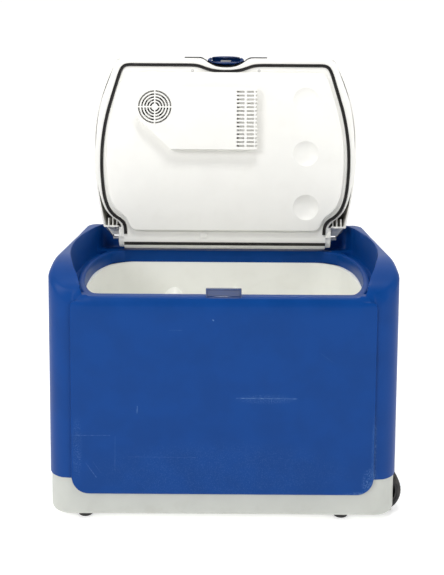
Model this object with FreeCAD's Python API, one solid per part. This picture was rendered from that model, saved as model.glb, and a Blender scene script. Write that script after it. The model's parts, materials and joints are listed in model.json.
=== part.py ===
"""Thermoelectric cool box on wheels, modelled piece by piece with its lid standing open.

Working frame, millimetres: X across the front, Y from the front face towards the back,
Z up from the floor.  The lid is drawn shut and then swung open about its hinge.  Every
piece is moved at the end so that the origin is below the middle of the whole object.
"""
import FreeCAD, Part
import math
import os

os.makedirs("parts", exist_ok=True)

V = FreeCAD.Vector

# ---------------------------------------------------------------- driving dimensions
HALF_W = 271.0          # half the width of the blue casing
BODY_BACK = 395.0       # depth of the casing, front panel to back face
PANEL_PROUD = 4.0       # how far the front panel stands out of the casing
PANEL_HALF = 231.0      # half the width of the front panel
PANEL_FOOT_Z = 45.0     # lower edge of the front panel
CORNER_R = 36.0         # upright corners of the casing
WALL = 3.0              # casing wall
SEAM_Z = 68.0           # where the casing meets the base
BASE_Z = 7.0            # underside of the base, which stands on its feet
RIM_Z = 352.0           # top of the front lip and of the sealing ridge
SHOULDER_Z = 398.0      # top of the two side shoulders
TUB_TOP_Z = 330.0       # top edge of the inner tub
TUB_FLOOR_Z = 55.0      # inside floor of the tub
STEP_Z = 88.0           # tub floor over the wheels
STEP_X = 196.0
BACK_WALL_Y = 345.0     # inner face of the back wall above the tub

LID_GAP = 3.6           # lid rim above the sealing ridge
POCKET_GAP = 6.5        # between the lid's edge and the wall of its pocket
LID_RIM_Z = RIM_Z + LID_GAP
LID_TOP_Z = 446.0
LID_WALL = 3.0
LID_FRONT_Y = 2.5
BARREL_R = 20.4         # hinge barrel, tangent to the rim plane of the lid
BARREL_HALF = 204.0
HINGE_Y = 352.5
HINGE_Z = LID_RIM_Z + BARREL_R
OPEN_DEG = 97.0         # lid opening, measured from shut
PIN_R = 3.5
RUN_CLEAR = 0.06        # radial clearance of every turning fit
BLOCK_R = 7.5           # bearing block round each hinge pin
BLOCK_OUT = 218.0

PLATEAU_DROP = 8.0      # how far the lid liner stands into the tub
COVER_DROP = 20.6       # height of the duct cover below the plateau
FAN_X, FAN_Y = -134.5, 101.5
DIMPLE_X = 155.0
DIMPLE_YS = (85.0, 188.0, 291.0)
DIMPLE_R = 24.5
DIMPLE_DEEP = 8.0

WHEEL_R = 35.6
WHEEL_X = 246.0
WHEEL_W = 28.0
WHEEL_FRONT_Y = 31.0
AXLE_R = 5.0
WELL_R = WHEEL_R + 3.9

BAIL_PIVOT_X = -262.0   # tow handle, folded down in its recess in the left wall
BAIL_PIVOT_Z = 315.0
BAIL_GRIP_Z = 186.0
BAIL_Y0, BAIL_Y1 = 108.0, 287.0
BAIL_T = 12.0
BAIL_PIN_R = 4.0
RECESS_X = -251.0
RECESS_Z0, RECESS_Z1 = 156.0, 332.0


# ---------------------------------------------------------------- small helpers
def box(x0, x1, y0, y1, z0, z1):
    return Part.makeBox(x1 - x0, y1 - y0, z1 - z0, V(x0, y0, z0))


def both_sides(shape):
    """The shape and its mirror image across the middle plane."""
    return [shape, shape.mirror(V(0, 0, 0), V(1, 0, 0))]


def rod_x(y, z, r, x0, x1):
    return Part.makeCylinder(r, x1 - x0, V(x0, y, z), V(1, 0, 0))


def rod_y(x, z, r, y0, y1):
    return Part.makeCylinder(r, y1 - y0, V(x, y0, z), V(0, 1, 0))


def rod_z(x, y, r, z0, z1):
    return Part.makeCylinder(r, z1 - z0, V(x, y, z0), V(0, 0, 1))


def fuse(shapes):
    first, rest = shapes[0], shapes[1:]
    return first.fuse(rest) if rest else first


def symmetric_outline(start, steps):
    """A closed outline from its right half, which runs from the front to the back."""
    edges = []
    here = V(start[0], start[1], 0)
    for step in steps:
        points = [V(x, y, 0) for x, y in step]
        right = Part.Arc(here, *points) if len(points) == 2 else Part.LineSegment(here, *points)
        mirrored = [V(-p.x, p.y, 0) for p in [here] + points]
        left = Part.Arc(*mirrored) if len(points) == 2 else Part.LineSegment(*mirrored)
        edges += [right.toShape(), left.toShape()]
        here = points[-1]
    return Part.Wire(Part.__sortEdges__(edges))


def round_rect(x0, x1, y0, y1, r):
    """A rectangle with rounded corners, as a wire at height 0."""
    k = r * (1 - math.sqrt(0.5))
    corners = [
        (V(x1 - r, y0, 0), V(x1 - k, y0 + k, 0), V(x1, y0 + r, 0)),
        (V(x1, y1 - r, 0), V(x1 - k, y1 - k, 0), V(x1 - r, y1, 0)),
        (V(x0 + r, y1, 0), V(x0 + k, y1 - k, 0), V(x0, y1 - r, 0)),
        (V(x0, y0 + r, 0), V(x0 + k, y0 + k, 0), V(x0 + r, y0, 0)),
    ]
    edges = []
    for i, (a, mid, b) in enumerate(corners):
        edges.append(Part.Arc(a, mid, b).toShape())
        edges.append(Part.LineSegment(b, corners[(i + 1) % 4][0]).toShape())
    return Part.Wire(edges)


def grown(wire, by):
    return wire.makeOffset2D(by) if by else wire


def prism(wire, z0, z1):
    face = Part.Face(wire)
    face.translate(V(0, 0, z0))
    return face.extrude(V(0, 0, z1 - z0))


def profile_y(points, y0, y1):
    """A prism along Y whose outline is given in the X-Z plane."""
    wire = Part.makePolygon([V(x, y0, z) for x, z in points + points[:1]])
    return Part.Face(wire).extrude(V(0, y1 - y0, 0))


def softened(shape, r, pick):
    """Round the edges that pick() accepts, and keep the shape if that can't be done."""
    edges = [e for e in shape.Edges if pick(e)]
    return shape.makeFillet(r, edges) if edges else shape


# ---------------------------------------------------------------- outlines, seen from above
def lid_outline(back_y, waist=True):
    """Edge of the lid: narrow at the latch, widest half way, narrow again at the hinge."""
    steps = [
        [(204.5, LID_FRONT_Y)],
        [(213.0, 5.8), (217.0, 14.0)],
        [(243.5, 84.0), (253.4, 185.0)],
        [(249.0, 243.0), (237.7, 307.5)],
        [(233.0, 329.5)],
    ]
    if waist:
        steps.append([(220.0, back_y)])
    else:
        steps.append([(232.0, back_y)])
    steps.append([(0.0, back_y)])
    return symmetric_outline((0.0, LID_FRONT_Y), steps)


def seal_outline(latch_dip):
    """Middle line of the main seal, closed across the hinge."""
    front_y = 19.5
    start = (0.0, 31.0) if latch_dip else (0.0, front_y)
    steps = [[(20.0, 31.0)], [(50.0, front_y)]] if latch_dip else []
    steps += [
        [(197.0, front_y)],
        [(204.5, 22.0), (209.5, 29.0)],
        [(232.5, 84.0), (241.5, 175.0)],
        [(239.5, 232.0), (231.0, 290.0)],
        [(222.5, 314.0), (207.0, 333.0)],
        [(196.8, 342.5), (193.0, 355.0)],
        [(193.0, 362.0)],
        [(0.0, 362.0)],
    ]
    return symmetric_outline(start, steps)


def duct_outline():
    """Duct cover on the lid: a round fan end and a square outlet end."""
    r = 38.0
    top_y, low_y, right_x, slant_x = FAN_Y - r, 181.5, 60.0, -104.0
    k = r * math.sqrt(0.5)
    points = [V(FAN_X, top_y, 0), V(right_x, top_y, 0), V(right_x, low_y, 0),
              V(slant_x, low_y, 0), V(FAN_X - k, FAN_Y + k, 0)]
    edges = [Part.LineSegment(a, b).toShape() for a, b in zip(points, points[1:])]
    edges.append(Part.Arc(points[-1], V(FAN_X - r, FAN_Y, 0), points[0]).toShape())
    return Part.Wire(edges)


# ---------------------------------------------------------------- the blue casing
def casing_block(inset, z0):
    """Outer form of the casing, or the form that lies inset inside it."""
    w = HALF_W - inset
    y0, y1 = PANEL_PROUD + inset, BODY_BACK - inset
    top = SHOULDER_Z - inset
    body = prism(round_rect(-w, w, y0, y1, CORNER_R - inset), z0, top)
    front_r, side_r, back_r = 56.0 - inset, 10.0 - inset, 20.0 - inset
    for x in (-w, w):
        body = body.cut(edge_round_y(x, top, side_r))
    body = body.cut(edge_round_x(y0, top, front_r))
    return body.cut(edge_round_x(y1, top, back_r))


def edge_round_y(x, z, r):
    """What is cut away to round a long top edge that runs along Y at (x, z)."""
    side = 1 if x > 0 else -1
    inner, beyond = x - side * r, x + side * 5
    corner = box(min(beyond, inner), max(beyond, inner), -5, BODY_BACK + 5, z - r, z)
    return corner.cut(rod_y(inner, z - r, r, -6, BODY_BACK + 6))


def edge_round_x(y, z, r):
    """The same for a top edge that runs along X at (y, z)."""
    inner = y + r if y < BODY_BACK / 2 else y - r
    corner = box(-HALF_W, HALF_W, min(y, inner), max(y, inner), z - r, z)
    return corner.cut(rod_x(inner, z - r, r, -HALF_W - 1, HALF_W + 1))


def pocket_outline(extra):
    """Plan of the pocket between the shoulders, or of a form that lies extra outside it."""
    return grown(lid_outline(344.0, waist=False), POCKET_GAP + extra)


def lid_pocket():
    """Space between the shoulders that takes the shut lid."""
    pocket = prism(pocket_outline(0.0), RIM_Z, SHOULDER_Z + 5)
    mouth = box(-215.5, 215.5, -10, 20, RIM_Z, SHOULDER_Z + 5)
    groove = prism(pocket_outline(0.0), RIM_Z - 7, RIM_Z)
    groove = groove.cut(prism(grown(seal_outline(False), 5.5), RIM_Z - 8, RIM_Z + 1))
    groove = groove.common(box(-HALF_W, HALF_W, 34, 340, 0, RIM_Z + 1))
    return [pocket, mouth, groove]


def hinge_bay():
    """Trough for the barrel, and the room that the lid needs to swing behind it."""
    half = BARREL_HALF + 2
    trough = rod_x(HINGE_Y, HINGE_Z, BARREL_R + 2.8, -half, half)
    over = box(-half, half, 330, 376, HINGE_Z - 10, SHOULDER_Z + 5)
    front = box(-half, half, 330, HINGE_Y, RIM_Z, SHOULDER_Z + 5)
    behind = box(-half, half, HINGE_Y + 10, BODY_BACK + 5, 358, SHOULDER_Z + 5)
    low, high = (219.0, 372.0), (245.0, SHOULDER_Z + 5)
    slope = profile_y([low, high, (-high[0], high[1]), (-low[0], low[1])], 345, BODY_BACK + 5)
    return [trough, over, front, behind, slope]


def bearing_blocks():
    """Blocks that hold the hinge pins, one at each end of the barrel."""
    x0, x1 = BARREL_HALF + 2, BLOCK_OUT
    block = rod_x(HINGE_Y, HINGE_Z, BLOCK_R, x0, x1)
    block = block.fuse(box(x0, x1, HINGE_Y - BLOCK_R, HINGE_Y + BLOCK_R, RIM_Z - 12, HINGE_Z))
    return both_sides(block.cut(rod_x(HINGE_Y, HINGE_Z, PIN_R, x0 - 1, x1 - 1)))


def tub_mouth(inset, z0, z1):
    """Plan of the opening above the tub."""
    solid = prism(grown(seal_outline(False), -5.0 - inset), z0, z1)
    return solid.common(box(-HALF_W, HALF_W, 0, BACK_WALL_Y - inset, z0, z1))


def wheel_wells():
    """Clear space round each wheel, open below and to the side."""
    wells = []
    for y0 in (WHEEL_FRONT_Y - 2.5, BODY_BACK - WHEEL_FRONT_Y - WHEEL_W - 2.5):
        y1 = y0 + WHEEL_W + 5
        wells.append(rod_y(WHEEL_X, WHEEL_R, WELL_R, y0, y1))
        wells.append(box(WHEEL_X - WELL_R, WHEEL_X + WELL_R, y0, y1, -1, WHEEL_R))
    return wells


def tow_recess():
    return box(-HALF_W - 1, RECESS_X, BAIL_Y0 - 13, BAIL_Y1 + 13, RECESS_Z0, RECESS_Z1)


def grip_recess():
    """Carrying hold under the right shoulder."""
    return box(HALF_W - 21, HALF_W + 1, 135, 260, 292, 330)


def outer_shell():
    """Blue casing: outer wall, shoulders, lid pocket, ridge and the wall above the tub."""
    solid = casing_block(0.0, SEAM_Z)
    panel = prism(round_rect(-PANEL_HALF, PANEL_HALF, 0, 40, 2.5), SEAM_Z - 1, RIM_Z)
    skirt = panel_skirt(PANEL_FOOT_Z, 0.0, 12.0)
    kept = [prism(pocket_outline(WALL), RIM_Z - 12, SHOULDER_Z + 5),
            box(-HALF_W, HALF_W, BACK_WALL_Y - 20, BODY_BACK, RIM_Z - 12, SHOULDER_Z + 5),
            box(-HALF_W + 45, HALF_W - 45, 0, 40, RIM_Z - 12, SHOULDER_Z + 5)]
    behind_panel = box(-PANEL_HALF + 6, PANEL_HALF - 6, WALL, 20, SEAM_Z - 1, RIM_Z - 14)
    hollow = casing_block(WALL, SEAM_Z - 1).cut(kept).fuse(behind_panel)
    shell = solid.fuse([panel, skirt]).cut(hollow)
    walls = fuse([box(RECESS_X - 1, RECESS_X + WALL, BAIL_Y0 - 16, BAIL_Y1 + 16,
                      RECESS_Z0 - WALL, RECESS_Z1 + WALL),
                  box(-HALF_W + 1, RECESS_X + WALL, BAIL_Y0 - 22, BAIL_Y1 + 22,
                      RECESS_Z0 - WALL, RECESS_Z1 + WALL)])
    hold = box(HALF_W - 21 - WALL, HALF_W - 1, 132, 263, 289, 333)
    mouth = tub_mouth(-WALL, TUB_TOP_Z, RIM_Z - 6).common(box(-300, 300, 10, 390, 0, 400))
    shell = shell.fuse([walls, hold, mouth])
    cuts = lid_pocket() + hinge_bay() + [tub_mouth(0.0, TUB_TOP_Z - 5, RIM_Z + 1)]
    cuts += [tow_recess(), grip_recess(), locating_notch()]
    shell = shell.cut(cuts).fuse(bearing_blocks())
    pins = [rod_y(BAIL_PIVOT_X, BAIL_PIVOT_Z, BAIL_PIN_R, BAIL_Y0 - 20, BAIL_Y0),
            rod_y(BAIL_PIVOT_X, BAIL_PIVOT_Z, BAIL_PIN_R, BAIL_Y1, BAIL_Y1 + 20)]
    return shell.cut(pins + [catch_foot()])


def panel_skirt(z0, y0, y1):
    """The part of the front panel that hangs in front of the base, with round corners."""
    r = 26.0
    w = PANEL_HALF
    slab = box(-w, w, y0, y1, z0, SEAM_Z + 1)
    corner = box(w - r, w, y0 - 1, y1 + 1, z0, z0 + r).cut(rod_y(w - r, z0 + r, r, y0 - 2, y1 + 2))
    return slab.cut(both_sides(corner))


def locating_notch():
    return box(-46, -36, BACK_WALL_Y - 1, BACK_WALL_Y + 4, RIM_Z - 8, RIM_Z + 1)


# ---------------------------------------------------------------- the rest of the box
def base_tray():
    """Grey bumper base with its floor, the housings of the wheels and the axle holes."""
    w, y0, y1 = HALF_W - 2, PANEL_PROUD + 1.5, BODY_BACK - 2
    tray = prism(round_rect(-w, w, y0, y1, CORNER_R - 2), BASE_Z, SEAM_Z)
    lower = [e for e in tray.Edges if abs(e.BoundBox.ZMax - BASE_Z) < 0.01]
    tray = tray.makeFillet(9.0, lower)
    inside = prism(round_rect(-w + WALL, w - WALL, y0 + WALL, y1 - WALL, CORNER_R - 5),
                   BASE_Z + WALL, SEAM_Z + 1)
    inside = inside.cut(box(-PANEL_HALF - 5, PANEL_HALF + 5, 0, 15.2, BASE_Z, SEAM_Z + 2))
    tray = tray.cut(inside)
    x0 = WHEEL_X - WELL_R - WALL
    housings = []
    for near in (WHEEL_FRONT_Y - 5.5, BODY_BACK - WHEEL_FRONT_Y - WHEEL_W - 5.5):
        housings.append(box(x0, HALF_W - 3.2, near, near + WHEEL_W + 11, BASE_Z, STEP_Z - 7))
    shape = casing_block(3.2, BASE_Z)
    tray = tray.fuse([h.common(shape) for h in housings])
    rib = [box(-w + 5, x0 + 1, 120 + 75 * i, 123 + 75 * i, BASE_Z + 1, 40) for i in range(3)]
    tray = tray.fuse(rib)
    skirt_room = panel_skirt(PANEL_FOOT_Z - 0.4, -1.0, 12.4)
    axle_hole = rod_y(WHEEL_X, WHEEL_R, AXLE_R, 0, BODY_BACK)
    axle_hole = axle_hole.common(box(0, 300, 20, BODY_BACK - 20, 0, 100))
    return tray.cut(wheel_wells() + [skirt_room, axle_hole] + screw_holes())


def tub_body(grow, top):
    """Solid form of the tub, stepped over the wheels."""
    form = prism(grown(round_tub(), grow), TUB_FLOOR_Z - grow, top)
    step = box(STEP_X + grow, HALF_W, -10, 400, 0, STEP_Z - grow)
    return form.cut(step)


def round_tub():
    """Inside of the tub, seen from above."""
    return symmetric_outline((0.0, 27.0), [
        [(188.0, 27.0)],
        [(198.5, 31.0), (204.0, 41.0)],
        [(224.5, 92.0), (233.0, 175.0)],
        [(231.5, 228.0), (223.5, 285.0)],
        [(213.0, 312.0), (187.0, 335.0)],
        [(175.0, 339.5), (165.0, 341.0)],
        [(0.0, 341.0)],
    ])


def liner_tub():
    """White tub with a flange under the casing and two ribs on its back wall."""
    wall = 2.4
    flange = prism(grown(round_tub(), 7.0), TUB_TOP_Z - 2.4, TUB_TOP_Z)
    flange = flange.common(box(-300, 300, 18, 360, 0, 400))
    tub = tub_body(wall, TUB_TOP_Z).fuse(flange).cut(tub_body(0.0, TUB_TOP_Z + 1))
    for x in (-97.0, 23.0):
        tub = tub.fuse(divider_rib(x))
    return tub


def divider_rib(x):
    """Rounded rib on the back wall that holds a divider; it widens towards the floor."""
    top, foot = 290.0, TUB_FLOOR_Z
    cone = Part.makeCone(26.0, 3.0, top - foot, V(x, 345.0, foot), V(0, 0, 1))
    return cone.common(box(x - 40, x + 40, 300, 342.0, foot - 1, top + 1))


def body_foam():
    """Insulation boards round the tub."""
    thick = 17.0
    block = tub_body(2.5 + thick, TUB_TOP_Z - 3.0)
    room = casing_block(WALL + 0.3, SEAM_Z + 0.5).common(box(-300, 300, 12, 391, 0, 400))
    below = box(-250, 200, 20, 375, 45, SEAM_Z + 0.5)
    block = block.common(room.fuse(below))
    cuts = [tub_body(2.5, TUB_TOP_Z)] + [w for w in wheel_wells()]
    cuts.append(box(-HALF_W, RECESS_X + WALL + 0.3, BAIL_Y0 - 23, BAIL_Y1 + 23,
                    RECESS_Z0 - WALL - 0.3, RECESS_Z1 + WALL + 0.3))
    cuts.append(box(HALF_W - 25, HALF_W, 131, 264, 288, 334))
    cuts.append(box(WHEEL_X - WELL_R - WALL - 1, 300, 0, 400, 0, STEP_Z - 6.5))
    return block.cut(cuts)


def catch_foot():
    return box(-22, 22, 4, 18, RIM_Z - 2, RIM_Z + 0.01)


def catch_plate():
    """Blue catch on the front lip: a foot let into the lip and an upright with a window."""
    foot = box(-22, 22, 4, 18, RIM_Z - 2, RIM_Z)
    upright = box(-27, 27, 4, 9.5, RIM_Z, RIM_Z + 13.5)
    upright = softened(upright, 1.2, lambda e: e.BoundBox.ZMin > RIM_Z + 13)
    window = box(-14, 14, 3, 11, RIM_Z + 6.5, RIM_Z + 11.0)
    return foot.fuse(upright).cut(window)


FOOT_PLACES = [(x, y) for x in (-214.0, 185.0) for y in (26.0, 366.0)]
SCREW_PLACES = [(x, y) for x in (-180.0, 0.0, 160.0) for y in (60.0, 330.0)]


def feet():
    """Four rubber feet pressed under the base."""
    pads = []
    for x, y in FOOT_PLACES:
        pad = Part.makeCone(11.0, 13.5, BASE_Z, V(x, y, 0), V(0, 0, 1))
        pads.append(pad)
    return Part.makeCompound(pads)


def screw_holes():
    return [rod_z(x, y, 3.6, BASE_Z - 1, BASE_Z + 1.4) for x, y in SCREW_PLACES]


def base_screws():
    """Pan-head screws that hold the base, sunk in its underside."""
    screws = []
    for x, y in SCREW_PLACES:
        head = rod_z(x, y, 3.5, BASE_Z - 0.6, BASE_Z + 1.4)
        slots = [box(x - 2.2, x + 2.2, y - 0.4, y + 0.4, BASE_Z - 1, BASE_Z + 0.2),
                 box(x - 0.4, x + 0.4, y - 2.2, y + 2.2, BASE_Z - 1, BASE_Z + 0.2)]
        screws.append(head.cut(slots))
    return Part.makeCompound(screws)


def axle():
    return rod_y(WHEEL_X, WHEEL_R, AXLE_R, WHEEL_FRONT_Y - 1.8, BODY_BACK - WHEEL_FRONT_Y + 1.8)


def hinge_pins():
    pin = rod_x(HINGE_Y, HINGE_Z, PIN_R, BARREL_HALF - 18, BLOCK_OUT - 1)
    return Part.makeCompound(both_sides(pin))


def tow_pins():
    pins = [rod_y(BAIL_PIVOT_X, BAIL_PIVOT_Z, BAIL_PIN_R, BAIL_Y0 - 19, BAIL_Y0 + BAIL_T - 1),
            rod_y(BAIL_PIVOT_X, BAIL_PIVOT_Z, BAIL_PIN_R, BAIL_Y1 - BAIL_T + 1, BAIL_Y1 + 19)]
    return Part.makeCompound(pins)


# ---------------------------------------------------------------- tow handle
def tow_handle():
    """Bail for towing: two flat arms and a round cross bar."""
    t = BAIL_T / 2
    x, z = BAIL_PIVOT_X, BAIL_PIVOT_Z
    arm = box(x - t, x + t, BAIL_Y0, BAIL_Y0 + BAIL_T, BAIL_GRIP_Z, z)
    arm = arm.fuse(rod_y(x, z, t + 1.5, BAIL_Y0, BAIL_Y0 + BAIL_T))
    arms = [arm, arm.translated(V(0, BAIL_Y1 - BAIL_Y0 - BAIL_T, 0))]
    bar = rod_y(x, BAIL_GRIP_Z, 6.5, BAIL_Y0, BAIL_Y1)
    bores = [rod_y(x, z, BAIL_PIN_R + RUN_CLEAR, BAIL_Y0 - 1, BAIL_Y0 + BAIL_T + 1),
             rod_y(x, z, BAIL_PIN_R + RUN_CLEAR, BAIL_Y1 - BAIL_T - 1, BAIL_Y1 + 1)]
    return arms[0].fuse([arms[1], bar]).cut(bores)


def tow_grip():
    """Soft sleeve on the cross bar, with finger grooves."""
    y0, y1 = BAIL_Y0 + BAIL_T + 14, BAIL_Y1 - BAIL_T - 14
    x, z = BAIL_PIVOT_X, BAIL_GRIP_Z
    sleeve = rod_y(x, z, 8.4, y0, y1)
    pitch = (y1 - y0) / 9
    grooves = []
    for i in range(1, 9):
        ring = rod_y(x, z, 9.5, y0 + pitch * i - 1, y0 + pitch * i + 1)
        grooves.append(ring.cut(rod_y(x, z, 7.8, y0, y1)))
    return sleeve.cut(grooves).cut(rod_y(x, z, 6.5, y0 - 1, y1 + 1))


# ---------------------------------------------------------------- wheels
def wheel_tyre(y0):
    """Black tread ring with rounded shoulders."""
    ring = rod_y(WHEEL_X, WHEEL_R, WHEEL_R, y0, y0 + WHEEL_W)
    ring = ring.makeFillet(2.5, [e for e in ring.Edges if e.BoundBox.YLength < 0.01])
    return ring.cut(rod_y(WHEEL_X, WHEEL_R, WHEEL_R - 7.0, y0 - 1, y0 + WHEEL_W + 1))


def wheel_hub(y0):
    """Spoked wheel centre with an open web."""
    r = WHEEL_R - 7.0
    outer = rod_y(WHEEL_X, WHEEL_R, r, y0 + 1, y0 + WHEEL_W - 1)
    rim = outer.cut(rod_y(WHEEL_X, WHEEL_R, r - 3.0, y0, y0 + WHEEL_W))
    boss = rod_y(WHEEL_X, WHEEL_R, 9.5, y0 + 1, y0 + WHEEL_W - 1)
    spokes = []
    for i in range(8):
        spoke = box(WHEEL_X + 8.5, WHEEL_X + r - 2.0, y0 + 6, y0 + WHEEL_W - 6,
                    WHEEL_R - 1.6, WHEEL_R + 1.6)
        spoke.rotate(V(WHEEL_X, 0, WHEEL_R), V(0, 1, 0), 22.5 + 45 * i)
        spokes.append(spoke)
    bore = rod_y(WHEEL_X, WHEEL_R, AXLE_R + RUN_CLEAR, y0, y0 + WHEEL_W)
    return rim.fuse([boss] + spokes).cut(bore)


def axle_caps():
    """Push-on caps that keep the wheels on the axle, let into the hub faces."""
    caps = []
    for y0, y1 in ((WHEEL_FRONT_Y - 2.2, WHEEL_FRONT_Y - 0.2),
                   (BODY_BACK - WHEEL_FRONT_Y + 0.2, BODY_BACK - WHEEL_FRONT_Y + 2.2)):
        cap = rod_y(WHEEL_X, WHEEL_R, 8.0, y0, y1)
        caps.append(cap.cut(axle()))
    return Part.makeCompound(caps)


# ---------------------------------------------------------------- lid, drawn shut
def lid_rounding(form, inset, y1):
    """Round the top edges of the lid, or of the hollow that lies inset inside it."""
    top = LID_TOP_Z - inset
    w = 253.4 - inset
    side_r, front_r, back_r = 34.0 - inset, 30.0 - inset, 16.0 - inset
    for x in (-w, w):
        form = form.cut(edge_round_y(x, top, side_r))
    form = form.cut(edge_round_x(LID_FRONT_Y + inset - 0.4, top, front_r))
    corner = box(-w, w, y1 - back_r, y1 + 1, top - back_r, top + 1)
    return form.cut(corner.cut(rod_x(y1 - back_r, top - back_r, back_r, -w - 1, w + 1)))


def lid_form():
    """Outer form of the lid."""
    main = prism(lid_outline(331.0, waist=False), LID_RIM_Z, LID_TOP_Z)
    ears = prism(lid_outline(HINGE_Y - 5.0), HINGE_Z + 7.5, LID_TOP_Z)
    spine = box(-BARREL_HALF, BARREL_HALF, 320, HINGE_Y + 8, HINGE_Z, LID_TOP_Z)
    return lid_rounding(main.fuse([ears, spine]), 0.0, HINGE_Y + 8)


def lid_hollow():
    """Space inside the lid wall, open towards the liner."""
    outline = grown(lid_outline(331.0, waist=False), -LID_WALL)
    main = lid_rounding(prism(outline, LID_RIM_Z - 1, LID_TOP_Z - LID_WALL), LID_WALL, 332.0)
    spine = box(-198, 198, 320, HINGE_Y + 4, HINGE_Z + 26, LID_TOP_Z - 20)
    return main.fuse(spine)


def lid_outer_shell():
    """White outer lid moulding, with stiffening ribs in its two rear corners."""
    shell = lid_form().cut(lid_hollow())
    seat = rod_x(HINGE_Y, HINGE_Z, BARREL_R, -BARREL_HALF - 5, BARREL_HALF + 5)
    under = box(-BARREL_HALF - 1, BARREL_HALF + 1, 325, HINGE_Y, LID_RIM_Z - 1, HINGE_Z)
    shell = shell.cut([seat, under])
    ribs = []
    for i in range(3):
        rib = box(208 + 8 * i, 210 + 8 * i, 306 + 4 * i, 329, LID_RIM_Z + 8, HINGE_Z + 30)
        ribs += both_sides(rib)
    shell = shell.fuse(ribs)
    vent = rod_z(FAN_X, FAN_Y, 43.0, LID_TOP_Z - 10, LID_TOP_Z + 1)
    return shell.cut([vent, latch_room(0.0), socket_room(), main_seal()])


def panel_outline():
    """Edge of the lid liner: inside the lid wall, and cut back at the rear corners."""
    wide = Part.Face(grown(lid_outline(331.0, waist=False), -LID_WALL - 0.1))
    near = Part.Face(grown(seal_outline(False), 9.0))
    return wide.common(near)


def lid_inner_panel():
    """Lid liner: rim flange, seal channel, raised plateau and three round dimples."""
    t = 2.5
    flat = panel_outline()
    flat.translate(V(0, 0, LID_RIM_Z))
    flange = flat.extrude(V(0, 0, t))
    low = LID_RIM_Z - PLATEAU_DROP
    plateau = plateau_prism(0.0, low, LID_RIM_Z + t)
    pan = plateau_prism(t, low + t, LID_RIM_Z + t + 1)
    panel = flange.fuse(plateau).cut(pan)
    sphere_r = (DIMPLE_R ** 2 + DIMPLE_DEEP ** 2) / (2 * DIMPLE_DEEP)
    cups, bowls = [], []
    for y in DIMPLE_YS:
        centre = V(DIMPLE_X, y, low + DIMPLE_DEEP - sphere_r)
        cup = Part.makeSphere(sphere_r + t, centre)
        cups.append(cup.common(rod_z(DIMPLE_X, y, DIMPLE_R + 4, low, low + 20)))
        bowls.append(Part.makeSphere(sphere_r, centre))
    panel = panel.fuse(cups).cut(bowls)
    windows = [rod_z(FAN_X, FAN_Y, 32.0, low - 1, low + t + 1), box(-77, 37, 78, 167, low - 1, low + t + 1)]
    panel = panel.cut(windows + [main_seal(), latch_room(0.0)] + panel_screw_holes())
    tab = box(-45.5, -36.5, 322, 331, LID_RIM_Z - 5, LID_RIM_Z + 1)
    return panel.fuse(tab)


def plateau_prism(inset, z0, z1):
    solid = prism(grown(seal_outline(True), -11.0 - inset), z0, z1)
    return solid.common(box(-300, 300, 0, 324 - inset, z0, z1))


def main_seal():
    """Black seal round the front and sides of the lid, ending at the hinge barrel."""
    z0, z1 = RIM_Z + 0.4, LID_RIM_Z + 1.5
    ring = prism(grown(seal_outline(True), 3.0), z0, z1).cut(
        prism(grown(seal_outline(True), -3.0), z0 - 1, z1 + 1))
    ring = ring.cut(box(-189, 189, 300, 400, 0, 500))
    return ring.common(box(-300, 300, 0, HINGE_Y - 4, 0, 500))


def seal_strip_at_barrel():
    """Rear seal strip, which turns with the barrel."""
    strip = box(-193.5, 193.5, HINGE_Y - BARREL_R - 1.2, HINGE_Y - BARREL_R + 1.5,
                HINGE_Z - 3.2, HINGE_Z + 3.2)
    strip.rotate(V(0, HINGE_Y, HINGE_Z), V(1, 0, 0), OPEN_DEG + 22)
    return strip


def hinge_barrel():
    """Round rear edge of the lid that turns on the hinge pins."""
    half = BARREL_HALF
    barrel = rod_x(HINGE_Y, HINGE_Z, BARREL_R - 3.0, -half, half)
    barrel = barrel.fuse(rod_x(HINGE_Y, HINGE_Z, BARREL_R, -194, 194))
    barrel = barrel.cut(rod_x(HINGE_Y, HINGE_Z, BARREL_R - 6.5, -180, 180))
    web = box(-half, half, 331, HINGE_Y - 14.5, LID_RIM_Z, LID_RIM_Z + 5)
    ends = box(-half, half, HINGE_Y - 15.5, HINGE_Y - 3, LID_RIM_Z, LID_RIM_Z + 4)
    ends = ends.cut(rod_x(HINGE_Y, HINGE_Z, BARREL_R - 6.5, -180, 180))
    bores = both_sides(rod_x(HINGE_Y, HINGE_Z, PIN_R + RUN_CLEAR, half - 20, half + 1))
    barrel = barrel.fuse([web, ends])
    return barrel.cut(bores + [seal_strip_at_barrel(), main_seal()])


def lid_foam():
    """Insulation slab in the lid, cut out round the cooling unit."""
    slab = prism(grown(lid_outline(331.0, waist=False), -14.0), LID_RIM_Z + 3, LID_RIM_Z + 25)
    slab = slab.common(box(-300, 300, 32, 300, 0, 500))
    slab = slab.cut([box(-186, 62, 56, 188, 0, 500)])
    cups = [rod_z(DIMPLE_X, y, DIMPLE_R + 5, 300, LID_RIM_Z + 6) for y in DIMPLE_YS]
    return slab.cut(cups)


# ---------------------------------------------------------------- cooling unit in the lid
PLATEAU_Z = LID_RIM_Z - PLATEAU_DROP
COVER_Z = PLATEAU_Z - COVER_DROP


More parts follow.
